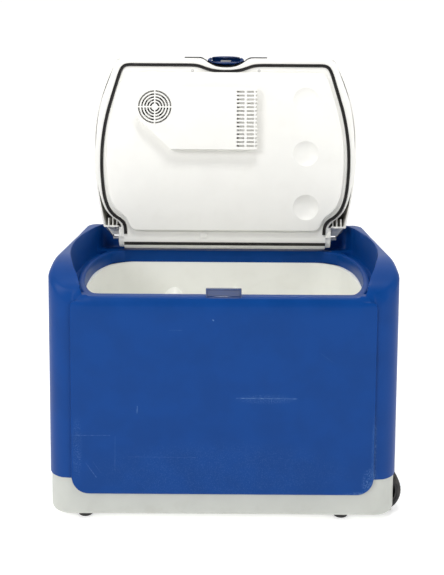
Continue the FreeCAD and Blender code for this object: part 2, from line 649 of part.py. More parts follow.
def duct_cover():
    """White air duct on the lid liner, with a ring grille and a slotted outlet."""
    t = 2.0
    shell = prism(duct_outline(), COVER_Z, PLATEAU_Z)
    shell = shell.cut(prism(grown(duct_outline(), -t), COVER_Z + t, PLATEAU_Z + 1))
    cuts = []
    for r in (7.9, 13.2, 18.7, 24.4, 30.3):
        ring = rod_z(FAN_X, FAN_Y, r + 1.5, COVER_Z - 1, COVER_Z + t + 1)
        ring = ring.cut(rod_z(FAN_X, FAN_Y, r - 1.5, COVER_Z - 1, COVER_Z + t + 1))
        for spoke in (box(FAN_X - 40, FAN_X + 40, FAN_Y - 1.3, FAN_Y + 1.3, 0, 500),
                      box(FAN_X - 1.3, FAN_X + 1.3, FAN_Y - 40, FAN_Y + 40, 0, 500)):
            ring = ring.cut(spoke)
        cuts.append(ring)
    first, pitch, high = 70.0, 7.36, 3.4
    for i in range(15):
        y = first + pitch * i
        cuts.append(box(21.5, 36.0, y, y + high, COVER_Z - 1, COVER_Z + t + 1))
        cuts.append(box(40.5, 54.0, y, y + high, COVER_Z - 1, COVER_Z + t + 1))
        cuts.append(box(57.0, 61.0, y, y + high, COVER_Z - 1, COVER_Z + 12))
    return shell.cut(cuts)


COLD_Z = LID_RIM_Z - 1.0
PELTIER_Z = COLD_Z + 6.0
HOT_Z = PELTIER_Z + 4.0


def cold_sink():
    sink = box(-75, 35, 80, 165, COLD_Z, PELTIER_Z)
    fins = [box(-75, 35, 80 + 9.22 * i, 82 + 9.22 * i, COVER_Z + 4, COLD_Z) for i in range(10)]
    return sink.fuse(fins)


def peltier_module():
    return box(-40, 0, 102, 142, PELTIER_Z, HOT_Z)


def hot_sink():
    sink = box(-80, 40, 75, 170, HOT_Z, HOT_Z + 5)
    fins = [box(-80, 40, 75 + 8.45 * i, 77 + 8.45 * i, HOT_Z + 5, HOT_Z + 38) for i in range(12)]
    return sink.fuse(fins)


def fan_motor():
    can = rod_z(FAN_X, FAN_Y, 18.0, LID_RIM_Z + 4, LID_RIM_Z + 26)
    return can.cut(rod_z(FAN_X, FAN_Y, 2.0 + RUN_CLEAR, 0, 500))


def fan_bracket():
    """Plate that carries the motor on four posts from the lid liner."""
    z = LID_RIM_Z + 26
    plate = box(FAN_X - 44, FAN_X + 44, FAN_Y - 40, FAN_Y + 40, z, z + 3)
    posts = [rod_z(FAN_X + sx * 38, FAN_Y + sy * 33, 4.0, PLATEAU_Z + 2.5, z)
             for sx in (-1, 1) for sy in (-1, 1)]
    return plate.fuse(posts).cut(rod_z(FAN_X, FAN_Y, 3.5, 0, 500))


def fan_shaft():
    return rod_z(FAN_X, FAN_Y, 2.0, COVER_Z + 5, LID_TOP_Z - 22)


def rotor(z0, z1, hub_r, tip_r, blades):
    """A fan wheel: a hub pressed on the shaft and tilted blades."""
    hub = rod_z(FAN_X, FAN_Y, hub_r, z0, z1)
    parts = []
    for i in range(blades):
        blade = box(hub_r - 2, tip_r, -0.9, 0.9, -(z1 - z0) / 2 + 0.6, (z1 - z0) / 2 - 0.6)
        blade.rotate(V(0, 0, 0), V(1, 0, 0), 40)
        blade.rotate(V(0, 0, 0), V(0, 0, 1), 360.0 / blades * i)
        blade.translate(V(FAN_X, FAN_Y, (z0 + z1) / 2))
        parts.append(blade)
    return hub.fuse(parts).cut(rod_z(FAN_X, FAN_Y, 2.0, 0, 500))


def inner_fan():
    return rotor(COVER_Z + 5, COVER_Z + 15, 9.0, 29.0, 7)


def outer_fan():
    return rotor(LID_TOP_Z - 40, LID_TOP_Z - 25, 12.0, 38.0, 7)


def top_grille():
    """Round louvred cover over the outer fan, snapped into the lid top."""
    disc = rod_z(FAN_X, FAN_Y, 43.0, LID_TOP_Z - 3, LID_TOP_Z)
    disc = disc.fuse(rod_z(FAN_X, FAN_Y, 46.0, LID_TOP_Z, LID_TOP_Z + 1.5))
    cuts = []
    for r in (10.0, 17.0, 24.0, 31.0, 38.0):
        ring = rod_z(FAN_X, FAN_Y, r + 2.0, LID_TOP_Z - 5, LID_TOP_Z + 3)
        ring = ring.cut(rod_z(FAN_X, FAN_Y, r - 2.0, LID_TOP_Z - 5, LID_TOP_Z + 3))
        for turn in (0, 60, 120):
            bar = box(-50, 50, -2, 2, 0, 500)
            bar.rotate(V(0, 0, 0), V(0, 0, 1), turn)
            ring = ring.cut(bar.translated(V(FAN_X, FAN_Y, 0)))
        cuts.append(ring)
    return disc.cut(cuts)


def socket_room():
    return box(-260, -230, 204, 236, LID_TOP_Z - 58, LID_TOP_Z - 38)


def power_socket():
    """Low-voltage inlet in the left side of the lid; its lead is a separate item."""
    z0, z1 = LID_TOP_Z - 58, LID_TOP_Z - 38
    body = box(-252.0, -232.0, 204, 236, z0, z1)
    pit = rod_x(220, (z0 + z1) / 2, 7.5, -253, -238)
    pegs = [rod_x(220 + dy, (z0 + z1) / 2, 1.2, -246, -238) for dy in (-3, 3)]
    return body.cut(pit).fuse(pegs)


# ---------------------------------------------------------------- latch
def lens(half, front_y, tip_y, back_y, z0, z1):
    """A flat lens seen from above: one arc in front and one behind."""
    a, b = V(-half, tip_y, 0), V(half, tip_y, 0)
    edges = [Part.Arc(a, V(0, front_y, 0), b).toShape(), Part.Arc(b, V(0, back_y, 0), a).toShape()]
    return prism(Part.Wire(edges), z0, z1)


def latch_room(gap):
    """Room in the lid's front edge for the button and its travel."""
    back = lens(38.5 + gap, -8.0, 6.0, 26.0 + gap, LID_RIM_Z - 2, LID_RIM_Z + 30)
    return back.fuse(box(-38.5 - gap, 38.5 + gap, -9, 6.0, LID_RIM_Z - 2, LID_RIM_Z + 30))


def latch_trim():
    """Black lining of the latch opening, with a thin strip along the lid edge."""
    z0, z1 = LID_RIM_Z + 0.2, LID_RIM_Z + 30
    lining = lens(38.5, -8.0, 6.0, 26.0, z0, z1).cut(lens(37.3, -9.0, 6.0, 24.6, z0 - 1, z1 - 1.2))
    lining = lining.common(box(-50, 50, 6.0, 30, 0, 500))
    strips = both_sides(box(37.3, 80.0, LID_FRONT_Y - 1.4, LID_FRONT_Y, LID_RIM_Z + 3, LID_RIM_Z + 9))
    cheeks = both_sides(box(37.3, 38.5, LID_FRONT_Y - 1.4, 6.0, z0, z1))
    return lining.fuse(strips + cheeks)


def latch_button():
    """Blue lens-shaped push button with a slot for the catch."""
    z0 = LID_RIM_Z - 1.2
    button = lens(36.0, -3.0, 3.0, 21.0, z0, LID_RIM_Z + 27)
    return button.cut(box(-30, 30, 0.8, 14.5, z0 - 1, LID_RIM_Z + 14))


def latch_hook():
    """Steel hook inside the button that enters the catch window from behind."""
    z = RIM_Z + 7.4
    stem = box(-10, 10, 12.9, 14.5, z, LID_RIM_Z + 14)
    return stem.fuse(box(-10, 10, 6.5, 13.0, z, z + 2.6))


def panel_screw_holes():
    holes = [rod_z(x, 27.5, 3.3, LID_RIM_Z - 1, LID_RIM_Z + 1.0) for x in (-64.5, 64.5)]
    return holes + [rod_z(x, 27.5, 1.5, LID_RIM_Z, LID_RIM_Z + 3.0) for x in (-64.5, 64.5)]


def panel_screws():
    """Two small screws near the latch that hold the liner to the lid."""
    screws = []
    for x in (-64.5, 64.5):
        head = rod_z(x, 27.5, 3.3, LID_RIM_Z - 0.5, LID_RIM_Z + 1.0)
        shank = rod_z(x, 27.5, 1.5, LID_RIM_Z + 1.0, LID_RIM_Z + 2.5)
        screws.append(head.fuse(shank).cut(box(x - 2, x + 2, 27.1, 27.9, 0, LID_RIM_Z)))
    return Part.makeCompound(screws)


# ---------------------------------------------------------------- assembly
REAR_WHEEL_Y = BODY_BACK - WHEEL_FRONT_Y - WHEEL_W

STANDING = {
    "outer_shell": outer_shell,
    "base_tray": base_tray,
    "liner_tub": liner_tub,
    "body_foam": body_foam,
    "catch_plate": catch_plate,
    "feet": feet,
    "base_screws": base_screws,
    "axle": axle,
    "axle_caps": axle_caps,
    "hinge_pins": hinge_pins,
    "tow_pins": tow_pins,
    "tow_handle": tow_handle,
    "tow_grip": tow_grip,
    "wheel_front_tyre": lambda: wheel_tyre(WHEEL_FRONT_Y),
    "wheel_front_hub": lambda: wheel_hub(WHEEL_FRONT_Y),
    "wheel_rear_tyre": lambda: wheel_tyre(REAR_WHEEL_Y),
    "wheel_rear_hub": lambda: wheel_hub(REAR_WHEEL_Y),
}

SWINGING = {
    "lid_outer_shell": lid_outer_shell,
    "lid_inner_panel": lid_inner_panel,
    "lid_foam": lid_foam,
    "hinge_barrel": hinge_barrel,
    "main_seal": main_seal,
    "rear_seal_strip": seal_strip_at_barrel,
    "duct_cover": duct_cover,
    "cold_sink": cold_sink,
    "peltier_module": peltier_module,
    "hot_sink": hot_sink,
    "fan_motor": fan_motor,
    "fan_bracket": fan_bracket,
    "fan_shaft": fan_shaft,
    "inner_fan": inner_fan,
    "outer_fan": outer_fan,
    "top_grille": top_grille,
    "power_socket": power_socket,
    "latch_trim": latch_trim,
    "panel_screws": panel_screws,
    "latch_button": latch_button,
    "latch_hook": latch_hook,
}


def build():
    """Every piece by name, with the lid swung open."""
    pieces = {name: make() for name, make in STANDING.items()}
    for name, make in SWINGING.items():
        piece = make().copy()
        piece.rotate(V(0, HINGE_Y, HINGE_Z), V(1, 0, 0), -OPEN_DEG)
        pieces[name] = piece
    return pieces


def centre_shift(pieces):
    """The move that puts the origin on the floor, below the middle of the object."""
    bounds = Part.makeCompound(list(pieces.values())).optimalBoundingBox(False)
    return V(-(bounds.XMin + bounds.XMax) / 2, -(bounds.YMin + bounds.YMax) / 2, -bounds.ZMin)


def main():
    pieces = build()
    shift = centre_shift(pieces)
    print("shift_mm %.4f %.4f %.4f" % tuple(shift))
    print("hinge_mm %.4f %.4f" % (HINGE_Y, HINGE_Z))
    for name, piece in pieces.items():
        piece.translate(shift)
        if not piece.isValid():
            print("not valid:", name)
        piece.exportStep("parts/%s.step" % name)
        print(name, len(piece.Solids), "solids", round(piece.Volume / 1000.0, 1), "cm3")


main()
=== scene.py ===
"""Looks of a wheeled electric cooler: its skins, fittings and finishes, and the studio round it."""

import json
import logging
import math
from dataclasses import dataclass
from enum import Enum
from typing import Callable, Iterable, Sequence

import bmesh
import bpy
from mathutils import Matrix, Vector

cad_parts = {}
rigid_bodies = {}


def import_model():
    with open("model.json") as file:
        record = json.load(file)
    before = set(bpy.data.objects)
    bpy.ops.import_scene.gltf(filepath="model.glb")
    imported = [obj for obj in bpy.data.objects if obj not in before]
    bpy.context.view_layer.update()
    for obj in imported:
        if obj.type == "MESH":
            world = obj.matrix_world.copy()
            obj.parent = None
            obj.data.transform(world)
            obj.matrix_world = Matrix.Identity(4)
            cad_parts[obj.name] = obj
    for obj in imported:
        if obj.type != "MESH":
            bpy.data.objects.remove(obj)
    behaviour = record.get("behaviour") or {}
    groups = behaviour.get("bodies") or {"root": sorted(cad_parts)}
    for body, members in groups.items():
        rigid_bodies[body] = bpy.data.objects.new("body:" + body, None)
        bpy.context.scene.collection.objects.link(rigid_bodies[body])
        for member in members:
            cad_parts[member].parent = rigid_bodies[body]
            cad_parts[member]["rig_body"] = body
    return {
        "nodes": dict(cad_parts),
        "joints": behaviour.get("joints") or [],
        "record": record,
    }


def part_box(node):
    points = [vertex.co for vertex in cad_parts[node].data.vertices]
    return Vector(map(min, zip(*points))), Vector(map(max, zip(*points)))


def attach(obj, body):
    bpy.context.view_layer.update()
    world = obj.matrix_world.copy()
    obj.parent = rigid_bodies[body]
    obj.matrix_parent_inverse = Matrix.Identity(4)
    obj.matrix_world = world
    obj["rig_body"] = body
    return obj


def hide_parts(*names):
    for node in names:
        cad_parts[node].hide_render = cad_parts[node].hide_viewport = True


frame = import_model()
logging.basicConfig(level=logging.INFO, format="%(message)s")
LOG = logging.getLogger("cooler")

Point = tuple[float, float, float]
Flat = tuple[float, float]
Colour = tuple[float, float, float]

WHITE: Colour = (1.0, 1.0, 1.0)


# ------------------------------------------------------------------ measuring frame
class Posture(Enum):
    """How a piece is drawn: as it stands, or shut and then swung open with the lid."""

    STANDING = "standing"
    LID_SHUT = "lid shut"


@dataclass(frozen=True)
class Datum:
    """The cooler's own frame: x from its middle, y back from the front panel, z up, in mm."""

    middle: float
    front: float
    hinge: Vector
    opening: float

    def place(self, point: Sequence[float]) -> Vector:
        """Return a point of the cooler's frame in metres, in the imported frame."""
        return Vector((self.middle + point[0] / 1000, self.front + point[1] / 1000, point[2] / 1000))

    def swing(self) -> Matrix:
        """Return the turn about the lid hinge from shut to open."""
        turn = Matrix.Rotation(-self.opening, 4, "X")
        return Matrix.Translation(self.hinge) @ turn @ Matrix.Translation(-self.hinge)


def read_datum() -> Datum:
    """Read the cooler's frame from the casing and the lid hinge.

    Returns:
        The datum that every sub-assembly is drawn in.
    """
    low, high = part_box("outer_shell")
    hinge = next(j for j in frame["joints"] if j["name"] == "lid_hinge")
    return Datum((low.x + high.x) / 2, low.y, Vector(hinge["pos_m"]), math.radians(hinge["range_deg"][1]))


DATUM = read_datum()


# ------------------------------------------------------------------ shader arithmetic
# Places of the colour sockets of a Mix node, whose names are shared with its other kinds.
MIX_SHARE, MIX_FIRST, MIX_SECOND = 0, 6, 7
MIX_COLOUR = 2


class Signal:
    """A shader socket that takes part in arithmetic; every operator adds a Math node."""

    def __init__(self, recipe: "Network", socket: bpy.types.NodeSocket) -> None:
        """Wrap one output socket of a tree."""
        self.recipe = recipe
        self.socket = socket

    def maths(self, operation: str, *values: "Signal | float", clamp: bool = False) -> "Signal":
        """Add a Math node.

        Args:
            operation: The Math node's operation.
            values: Its inputs, in order.
            clamp: Whether the result is kept between 0 and 1.

        Returns:
            The node's result.
        """
        settings = {"operation": operation, "use_clamp": clamp}
        return self.recipe.node("ShaderNodeMath", settings, dict(enumerate(values)))

    def __add__(self, other: "Signal | float") -> "Signal":
        """Sum."""
        return self.maths("ADD", self, other)

    def __radd__(self, other: float) -> "Signal":
        """Sum with a number in front."""
        return self.maths("ADD", other, self)

    def __sub__(self, other: "Signal | float") -> "Signal":
        """Difference."""
        return self.maths("SUBTRACT", self, other)

    def __rsub__(self, other: float) -> "Signal":
        """Difference from a number."""
        return self.maths("SUBTRACT", other, self)

    def __mul__(self, other: "Signal | float") -> "Signal":
        """Product."""
        return self.maths("MULTIPLY", self, other)

    def __rmul__(self, other: float) -> "Signal":
        """Product with a number in front."""
        return self.maths("MULTIPLY", other, self)

    def larger(self, other: "Signal | float") -> "Signal":
        """Return the larger of two values."""
        return self.maths("MAXIMUM", self, other)

    def clamped(self) -> "Signal":
        """Return the value kept between 0 and 1."""
        return self.maths("ADD", self, 0.0, clamp=True)

    def fade(self, start: float, end: float) -> "Signal":
        """Return a smooth step.

        Args:
            start: Where the step is still 0.
            end: Where it has reached 1; it may lie below start.

        Returns:
            The step, from 0 to 1.
        """
        settings = {"interpolation_type": "SMOOTHSTEP", "clamp": True}
        if start < end:
            return self.recipe.node("ShaderNodeMapRange", settings,
                                    {"Value": self, "From Min": start, "From Max": end})
        return 1.0 - self.recipe.node("ShaderNodeMapRange", settings,
                                      {"Value": self, "From Min": end, "From Max": start})


class Network:
    """A node tree while it is written."""

    def __init__(self, tree: bpy.types.NodeTree) -> None:
        """Write into a tree."""
        self.tree = tree

    def node(self, kind: str, settings: dict, inputs: dict, output: str | int = 0) -> Signal:
        """Add any node.

        Args:
            kind: The node's type.
            settings: Its settings, which are set before its sockets.
            inputs: Numbers, colours, vectors or links, by socket name or place.
            output: The output to return.

        Returns:
            That output.
        """
        made = self.tree.nodes.new(kind)
        for key, value in settings.items():
            setattr(made, key, value)
        for key, value in inputs.items():
            self.feed(made.inputs[key], value)
        return Signal(self, made.outputs[output])

    def feed(self, socket: bpy.types.NodeSocket, value: object) -> None:
        """Link a signal to a socket, or set the socket's own value.

        Args:
            socket: The socket.
            value: A signal, a number, a vector or a colour.
        """
        if isinstance(value, Signal):
            self.tree.links.new(value.socket, socket)
        elif isinstance(value, tuple) and socket.type == "RGBA":
            socket.default_value = (*value, 1.0)
        else:
            socket.default_value = value


class Recipe(Network):
    """The node tree of one material while it is written."""

    def __init__(self, name: str) -> None:
        """Start a material whose tree holds only its surface shader.

        Args:
            name: The material's name.
        """
        self.material = bpy.data.materials.new(name)
        self.material.use_nodes = True
        super().__init__(self.material.node_tree)
        self.surface = self.tree.nodes["Principled BSDF"]
        self.place = self.node("ShaderNodeTexCoord", {}, {}, "Object")

    def noise(self, size_mm: float, detail: float = 3.0, rough: float = 0.5,
              stretch: Point = (1.0, 1.0, 1.0), seed: float = 0.0) -> Signal:
        """Add even noise over the piece.

        Args:
            size_mm: How large its blotches are.
            detail: How many finer layers it has.
            rough: How strong the finer layers are.
            stretch: How much longer the blotches are along each axis.
            seed: Where in the pattern it starts.

        Returns:
            A value round 0.5.
        """
        scale = tuple(1000 / (size_mm * s) for s in stretch)
        vector = self.node("ShaderNodeMapping", {"vector_type": "POINT"},
                           {"Vector": self.place, "Location": (seed, seed * 0.7, seed * 0.3), "Scale": scale})
        return self.node("ShaderNodeTexNoise", {"noise_dimensions": "3D"},
                         {"Vector": vector, "Scale": 1.0, "Detail": detail, "Roughness": rough}, 0)

    def cells(self, size_mm: float, feature: str = "F1") -> Signal:
        """Return the distance field of a cell pattern of that size."""
        return self.node("ShaderNodeTexVoronoi", {"feature": feature},
                         {"Vector": self.place, "Scale": 1000 / size_mm}, "Distance")

    def axes(self) -> tuple[Signal, Signal, Signal]:
        """Find the place on the piece in the cooler's frame.

        Returns:
            How far it is along x, y and z, in mm.
        """
        x, y, z = (self.node("ShaderNodeSeparateXYZ", {}, {0: self.place}, axis) for axis in "XYZ")
        return ((x - DATUM.middle) * 1000.0, (y - DATUM.front) * 1000.0, z * 1000.0)

    def blend(self, share: "Signal | float", first: "Signal | Colour", second: "Signal | Colour",
              mode: str = "MIX") -> Signal:
        """Mix two colours.

        Args:
            share: How much of the second colour shows.
            first: The colour below.
            second: The colour above.
            mode: The Mix node's way of joining them.

        Returns:
            The mixed colour.
        """
        return self.node("ShaderNodeMix", {"data_type": "RGBA", "blend_type": mode},
                         {MIX_SHARE: share, MIX_FIRST: first, MIX_SECOND: second}, MIX_COLOUR)

    def bump(self, height: Signal, depth_mm: float, strength: float = 1.0) -> None:
        """Raise the surface by a pattern.

        Args:
            height: The pattern, from 0 to 1.
            depth_mm: How high it stands where the pattern is 1.
            strength: The share of the effect that is used.
        """
        normal = self.node("ShaderNodeBump", {},
                           {"Height": height, "Distance": depth_mm / 1000, "Strength": strength})
        self.feed(self.surface.inputs["Normal"], normal)

    def finish(self, **values: object) -> bpy.types.Material:
        """Set the surface shader's sockets.

        Args:
            **values: Their values, named with _ for spaces.

        Returns:
            The material.
        """
        for key, value in values.items():
            self.feed(self.surface.inputs[key.replace("_", " ")], value)
        return self.material


def paint(red: int, green: int, blue: int) -> Colour:
    """Turn a screen colour, 0 to 255, into a linear one.

    Args:
        red: Red.
        green: Green.
        blue: Blue.

    Returns:
        The linear colour.
    """
    def line(value: int) -> float:
        """Return one channel made linear."""
        share = value / 255
        return share / 12.92 if share <= 0.04045 else ((share + 0.055) / 1.055) ** 2.4
    return (line(red), line(green), line(blue))


# ------------------------------------------------------------------ finishes
@dataclass(frozen=True)
class Scratch:
    """A scratch on the front panel, from one place to another, in mm."""

    start: Flat
    end: Flat
    width: float
    strength: float
    gaps: float = 0.35

    def mask(self, recipe: Recipe, x: Signal, z: Signal, breaks: Signal) -> Signal:
        """Return where the scratch shows.

        Args:
            recipe: The material it goes into.
            x: The place across.
            z: The height.
            breaks: Noise that leaves gaps in it.

        Returns:
            A mask from 0 to its strength.
        """
        (ax, az), (bx, bz) = self.start, self.end
        dx, dz = bx - ax, bz - az
        square = dx * dx + dz * dz
        along = (x * (dx / square) + z * (dz / square) - (ax * dx + az * dz) / square).clamped()
        off_x = x - (along * dx + ax)
        off_z = z - (along * dz + az)
        near = (off_x * off_x + off_z * off_z).fade(self.width * self.width, 0.0)
        return near * (breaks.fade(self.gaps, self.gaps + 0.3) * 0.8 + 0.2) * self.strength


@dataclass(frozen=True)
class Scuff:
    """A patch of fine speckled scuffing on the front panel, in mm."""

    centre: Flat
    reach: Flat
    strength: float
    seed: float = 0.0

    def mask(self, recipe: Recipe, x: Signal, z: Signal) -> Signal:
        """Return where the scuffing shows.

        Args:
            recipe: The material it goes into.
            x: The place across.
            z: The height.

        Returns:
            A mask from 0 to its strength.
        """
        dx = (x - self.centre[0]) * (1 / self.reach[0])
        dz = (z - self.centre[1]) * (1 / self.reach[1])
        inside = (dx * dx + dz * dz).fade(1.0, 0.1)
        specks = recipe.noise(1.5, 5.0, 0.75, seed=self.seed).fade(0.50, 0.66)
        return specks * inside * self.strength


@dataclass(frozen=True)
class Moulding:
    """Moulded plastic: its colour and gloss, its skin, and the dirt and wear on it."""

    name: str
    colour: Colour
    roughness: float
    grain_mm: float = 1.1
    grain_depth: float = 0.02
    mottle: float = 0.05
    shade: Colour = (0.3, 0.28, 0.25)
    grime: float = 0.0
    grime_top: float = 0.0
    coat: float = 0.0
    specular: float = 0.5
    scratches: tuple[Scratch, ...] = ()
    scuffs: tuple[Scuff, ...] = ()

    def make(self) -> bpy.types.Material:
        """Build the material.

        Returns:
            The material.
        """
        recipe = Recipe(self.name)
        grain = recipe.noise(self.grain_mm, 2.0, 0.6)
        broad = recipe.noise(55.0, 3.0, 0.5, seed=3.1)
        x, y, z = recipe.axes()
        deeper = tuple(c * (1 - self.mottle * 2) for c in self.colour)
        lighter = tuple(min(c * (1 + self.mottle) + self.mottle * 0.01, 1.0) for c in self.colour)
        colour = recipe.blend(broad.fade(0.35, 0.65), deeper, lighter)
        roughness = (broad - 0.5) * 0.12 + (grain - 0.5) * 0.08 + self.roughness
        if self.grime:
            blotch = recipe.noise(28.0, 6.0, 0.62, seed=7.7).fade(0.5, 0.72)
            low = z.fade(self.grime_top, 0.0) if self.grime_top else 0.5
            dirt = blotch * low * self.grime
            colour = recipe.blend(dirt, colour, self.shade)
            roughness = roughness + dirt * 0.2
        height = grain * 0.6 + broad * 0.4
        if self.scratches:
            breaks = recipe.noise(5.0, 3.0, 0.7, seed=11.0)
            masks = [s.mask(recipe, x, z, breaks) for s in self.scratches]
            total = masks[0]
            for mask in masks[1:]:
                total = total.larger(mask)
            for scuff in self.scuffs:
                total = total.larger(scuff.mask(recipe, x, z))
            colour = recipe.blend(total * y.fade(12.0, 6.0), colour, paint(120, 160, 205))
            roughness = roughness + total * 0.2
            height = height - total * 0.8
        recipe.bump(height, self.grain_depth)
        return recipe.finish(Base_Color=colour, Roughness=roughness, Coat_Weight=self.coat,
                             Coat_Roughness=0.12, Specular_IOR_Level=self.specular)


@dataclass(frozen=True)
class Rubber:
    """Soft black sealing or tyre rubber, with bloom and fine dust."""

    name: str
    colour: Colour
    roughness: float
    dust: float = 0.25
    dust_colour: Colour = (0.20, 0.18, 0.16)

    def make(self) -> bpy.types.Material:
        """Build the material.

        Returns:
            The material.
        """
        recipe = Recipe(self.name)
        fine = recipe.noise(0.9, 4.0, 0.7)
        patch = recipe.noise(17.0, 5.0, 0.6, seed=5.0)
        powder = patch.fade(0.45, 0.75) * self.dust
        colour = recipe.blend(powder, self.colour, self.dust_colour)
        recipe.bump(fine, 0.06)
        return recipe.finish(Base_Color=colour, Roughness=(fine - 0.5) * 0.2 + powder * 0.3 + self.roughness)


@dataclass(frozen=True)
class Metal:
    """Bare metal with a drawn or milled lay and a little tarnish."""

    name: str
    colour: Colour
    roughness: float
    lay: Point = (14.0, 1.0, 1.0)
    tarnish: float = 0.25

    def make(self) -> bpy.types.Material:
        """Build the material.

        Returns:
            The material.
        """
        recipe = Recipe(self.name)
        lines = recipe.noise(0.5, 3.0, 0.6, stretch=self.lay)
        patch = recipe.noise(12.0, 4.0, 0.6, seed=2.0)
        dull = tuple(c * 0.6 for c in self.colour)
        colour = recipe.blend(patch.fade(0.5, 0.8) * self.tarnish, self.colour, dull)
        recipe.bump(lines, 0.02)
        return recipe.finish(Base_Color=colour, Metallic=1.0,
                             Roughness=(lines - 0.5) * 0.25 + patch * 0.1 + self.roughness)


@dataclass(frozen=True)
class Foam:
    """Rigid insulating foam with open skin and small cells."""

    name: str
    colour: Colour

    def make(self) -> bpy.types.Material:
        """Build the material.

        Returns:
            The material.
        """
        recipe = Recipe(self.name)
        cells = recipe.cells(1.6)
        tone = recipe.noise(20.0, 4.0, 0.6)
        dark = tuple(c * 0.72 for c in self.colour)
        colour = recipe.blend(cells.fade(0.3, 0.8), self.colour, dark)
        recipe.bump(cells * 0.7 + tone * 0.3, 0.35)
        return recipe.finish(Base_Color=colour, Roughness=(tone - 0.5) * 0.1 + 0.85)


FRONT_SCRATCHES = (
    Scratch((20, 197.4), (112, 197.0), 0.75, 0.55, 0.38),
    Scratch((-229.8, 137.5), (-172, 137.8), 0.7, 0.35, 0.44),
    Scratch((-144, 104.2), (-41, 103.6), 0.6, 0.3, 0.48),
    Scratch((-130, 184), (-130.5, 173), 0.8, 0.45, 0.4),
    Scratch((-164, 136), (-164.6, 83), 0.7, 0.3, 0.5),
    Scratch((-209, 94), (-193, 71), 0.8, 0.35, 0.45),
    Scratch((-198, 96), (-186, 78), 0.6, 0.25, 0.5),
    Scratch((147, 268), (166, 254), 0.6, 0.25, 0.5),
    Scratch((-81, 302), (-62, 302.4), 0.7, 0.3, 0.5),
    Scratch((-16, 318.5), (-15, 317.5), 1.2, 0.5, 0.3),
)

FRONT_SCUFFS = (
    Scuff((231.5, 112), (5.5, 78), 0.62, 1.0),
    Scuff((226, 62), (15, 30), 0.75, 2.0),
    Scuff((205, 44.5), (26, 7), 0.6, 3.0),
    Scuff((66, 196), (52, 9), 0.35, 4.0),
    Scuff((-222, 118), (9, 62), 0.25, 5.0),
    Scuff((0, 80), (240, 60), 0.10, 6.0),
)

FINISHES = {
    "casing_blue": Moulding("casing_blue", (0.0, 0.047, 0.232), 0.40, 1.3, 0.03, 0.03, specular=0.16,
                            scratches=FRONT_SCRATCHES, scuffs=FRONT_SCUFFS),
    "base_grey": Moulding("base_grey", paint(197, 199, 192), 0.5, 1.2, 0.03, 0.015,
                          paint(150, 142, 125), 0.14, 60.0, specular=0.3),
    "liner_white": Moulding("liner_white", paint(250, 250, 243), 0.4, 1.5, 0.015, 0.006,
                            paint(205, 198, 180), 0.1),
    "lid_white": Moulding("lid_white", paint(246, 245, 240), 0.36, 1.4, 0.015, 0.006,
                          paint(205, 198, 180), 0.08, specular=0.35),
    "foam": Foam("foam", paint(214, 204, 172)),
    "seal_black": Rubber("seal_black", paint(18, 15, 14), 0.5, 0.08),
    "wheel_tyre": Rubber("wheel_tyre", paint(26, 26, 27), 0.62, 0.4),
    "wheel_hub": Moulding("wheel_hub", paint(30, 30, 32), 0.45, 1.1, 0.02, 0.1,
                          paint(90, 84, 76), 0.4, 60.0),
    "foot_rubber": Rubber("foot_rubber", paint(30, 30, 30), 0.7, 0.5),
    "steel": Metal("steel", (0.62, 0.61, 0.60), 0.32),
    "sink_aluminium": Metal("sink_aluminium", (0.80, 0.81, 0.82), 0.34, (1.0, 14.0, 1.0)),
    "module_ceramic": Moulding("module_ceramic", paint(232, 230, 222), 0.6, 0.6, 0.03, 0.02),
    "latch_blue": Moulding("latch_blue", paint(0, 44, 100), 0.14, 2.2, 0.01, 0.04, coat=0.8),
    "trim_black": Moulding("trim_black", paint(16, 16, 17), 0.35, 1.2, 0.02, 0.1),
    "handle_grey": Moulding("handle_grey", paint(140, 142, 142), 0.48, 1.2, 0.03, 0.05),
    "grip_black": Rubber("grip_black", paint(30, 30, 31), 0.66, 0.3),
}


class Wardrobe:
    """The finishes of the record's material slots, each made once."""

    def __init__(self) -> None:
        """Start with nothing made."""
        self.made: dict[str, bpy.types.Material] = {}

    def get(self, slot: str) -> bpy.types.Material:
        """Look up the material of a slot, and make it when it is first asked for.

        Args:
            slot: The slot.

        Returns:
            Its material.
        """
        if slot not in self.made:
            self.made[slot] = FINISHES[slot].make()
        return self.made[slot]


WARDROBE = Wardrobe()


# ------------------------------------------------------------------ studio
@dataclass(frozen=True)
class Softbox:
    """A rectangular soft light: where it hangs and aims, its size in metres and its power in watts."""

    name: str
    place: Point
    aim: Point
    size: Flat
    power: float

    def hang(self) -> None:
        """Hang the light."""
        data = bpy.data.lights.new(self.name, "AREA")
        data.shape = "RECTANGLE"
        data.size, data.size_y = self.size
        data.energy = self.power
        lamp = bpy.data.objects.new(self.name, data)
        lamp.location = self.place
        lamp.rotation_euler = (Vector(self.aim) - Vector(self.place)).to_track_quat("-Z", "Y").to_euler()
        bpy.context.scene.collection.objects.link(lamp)


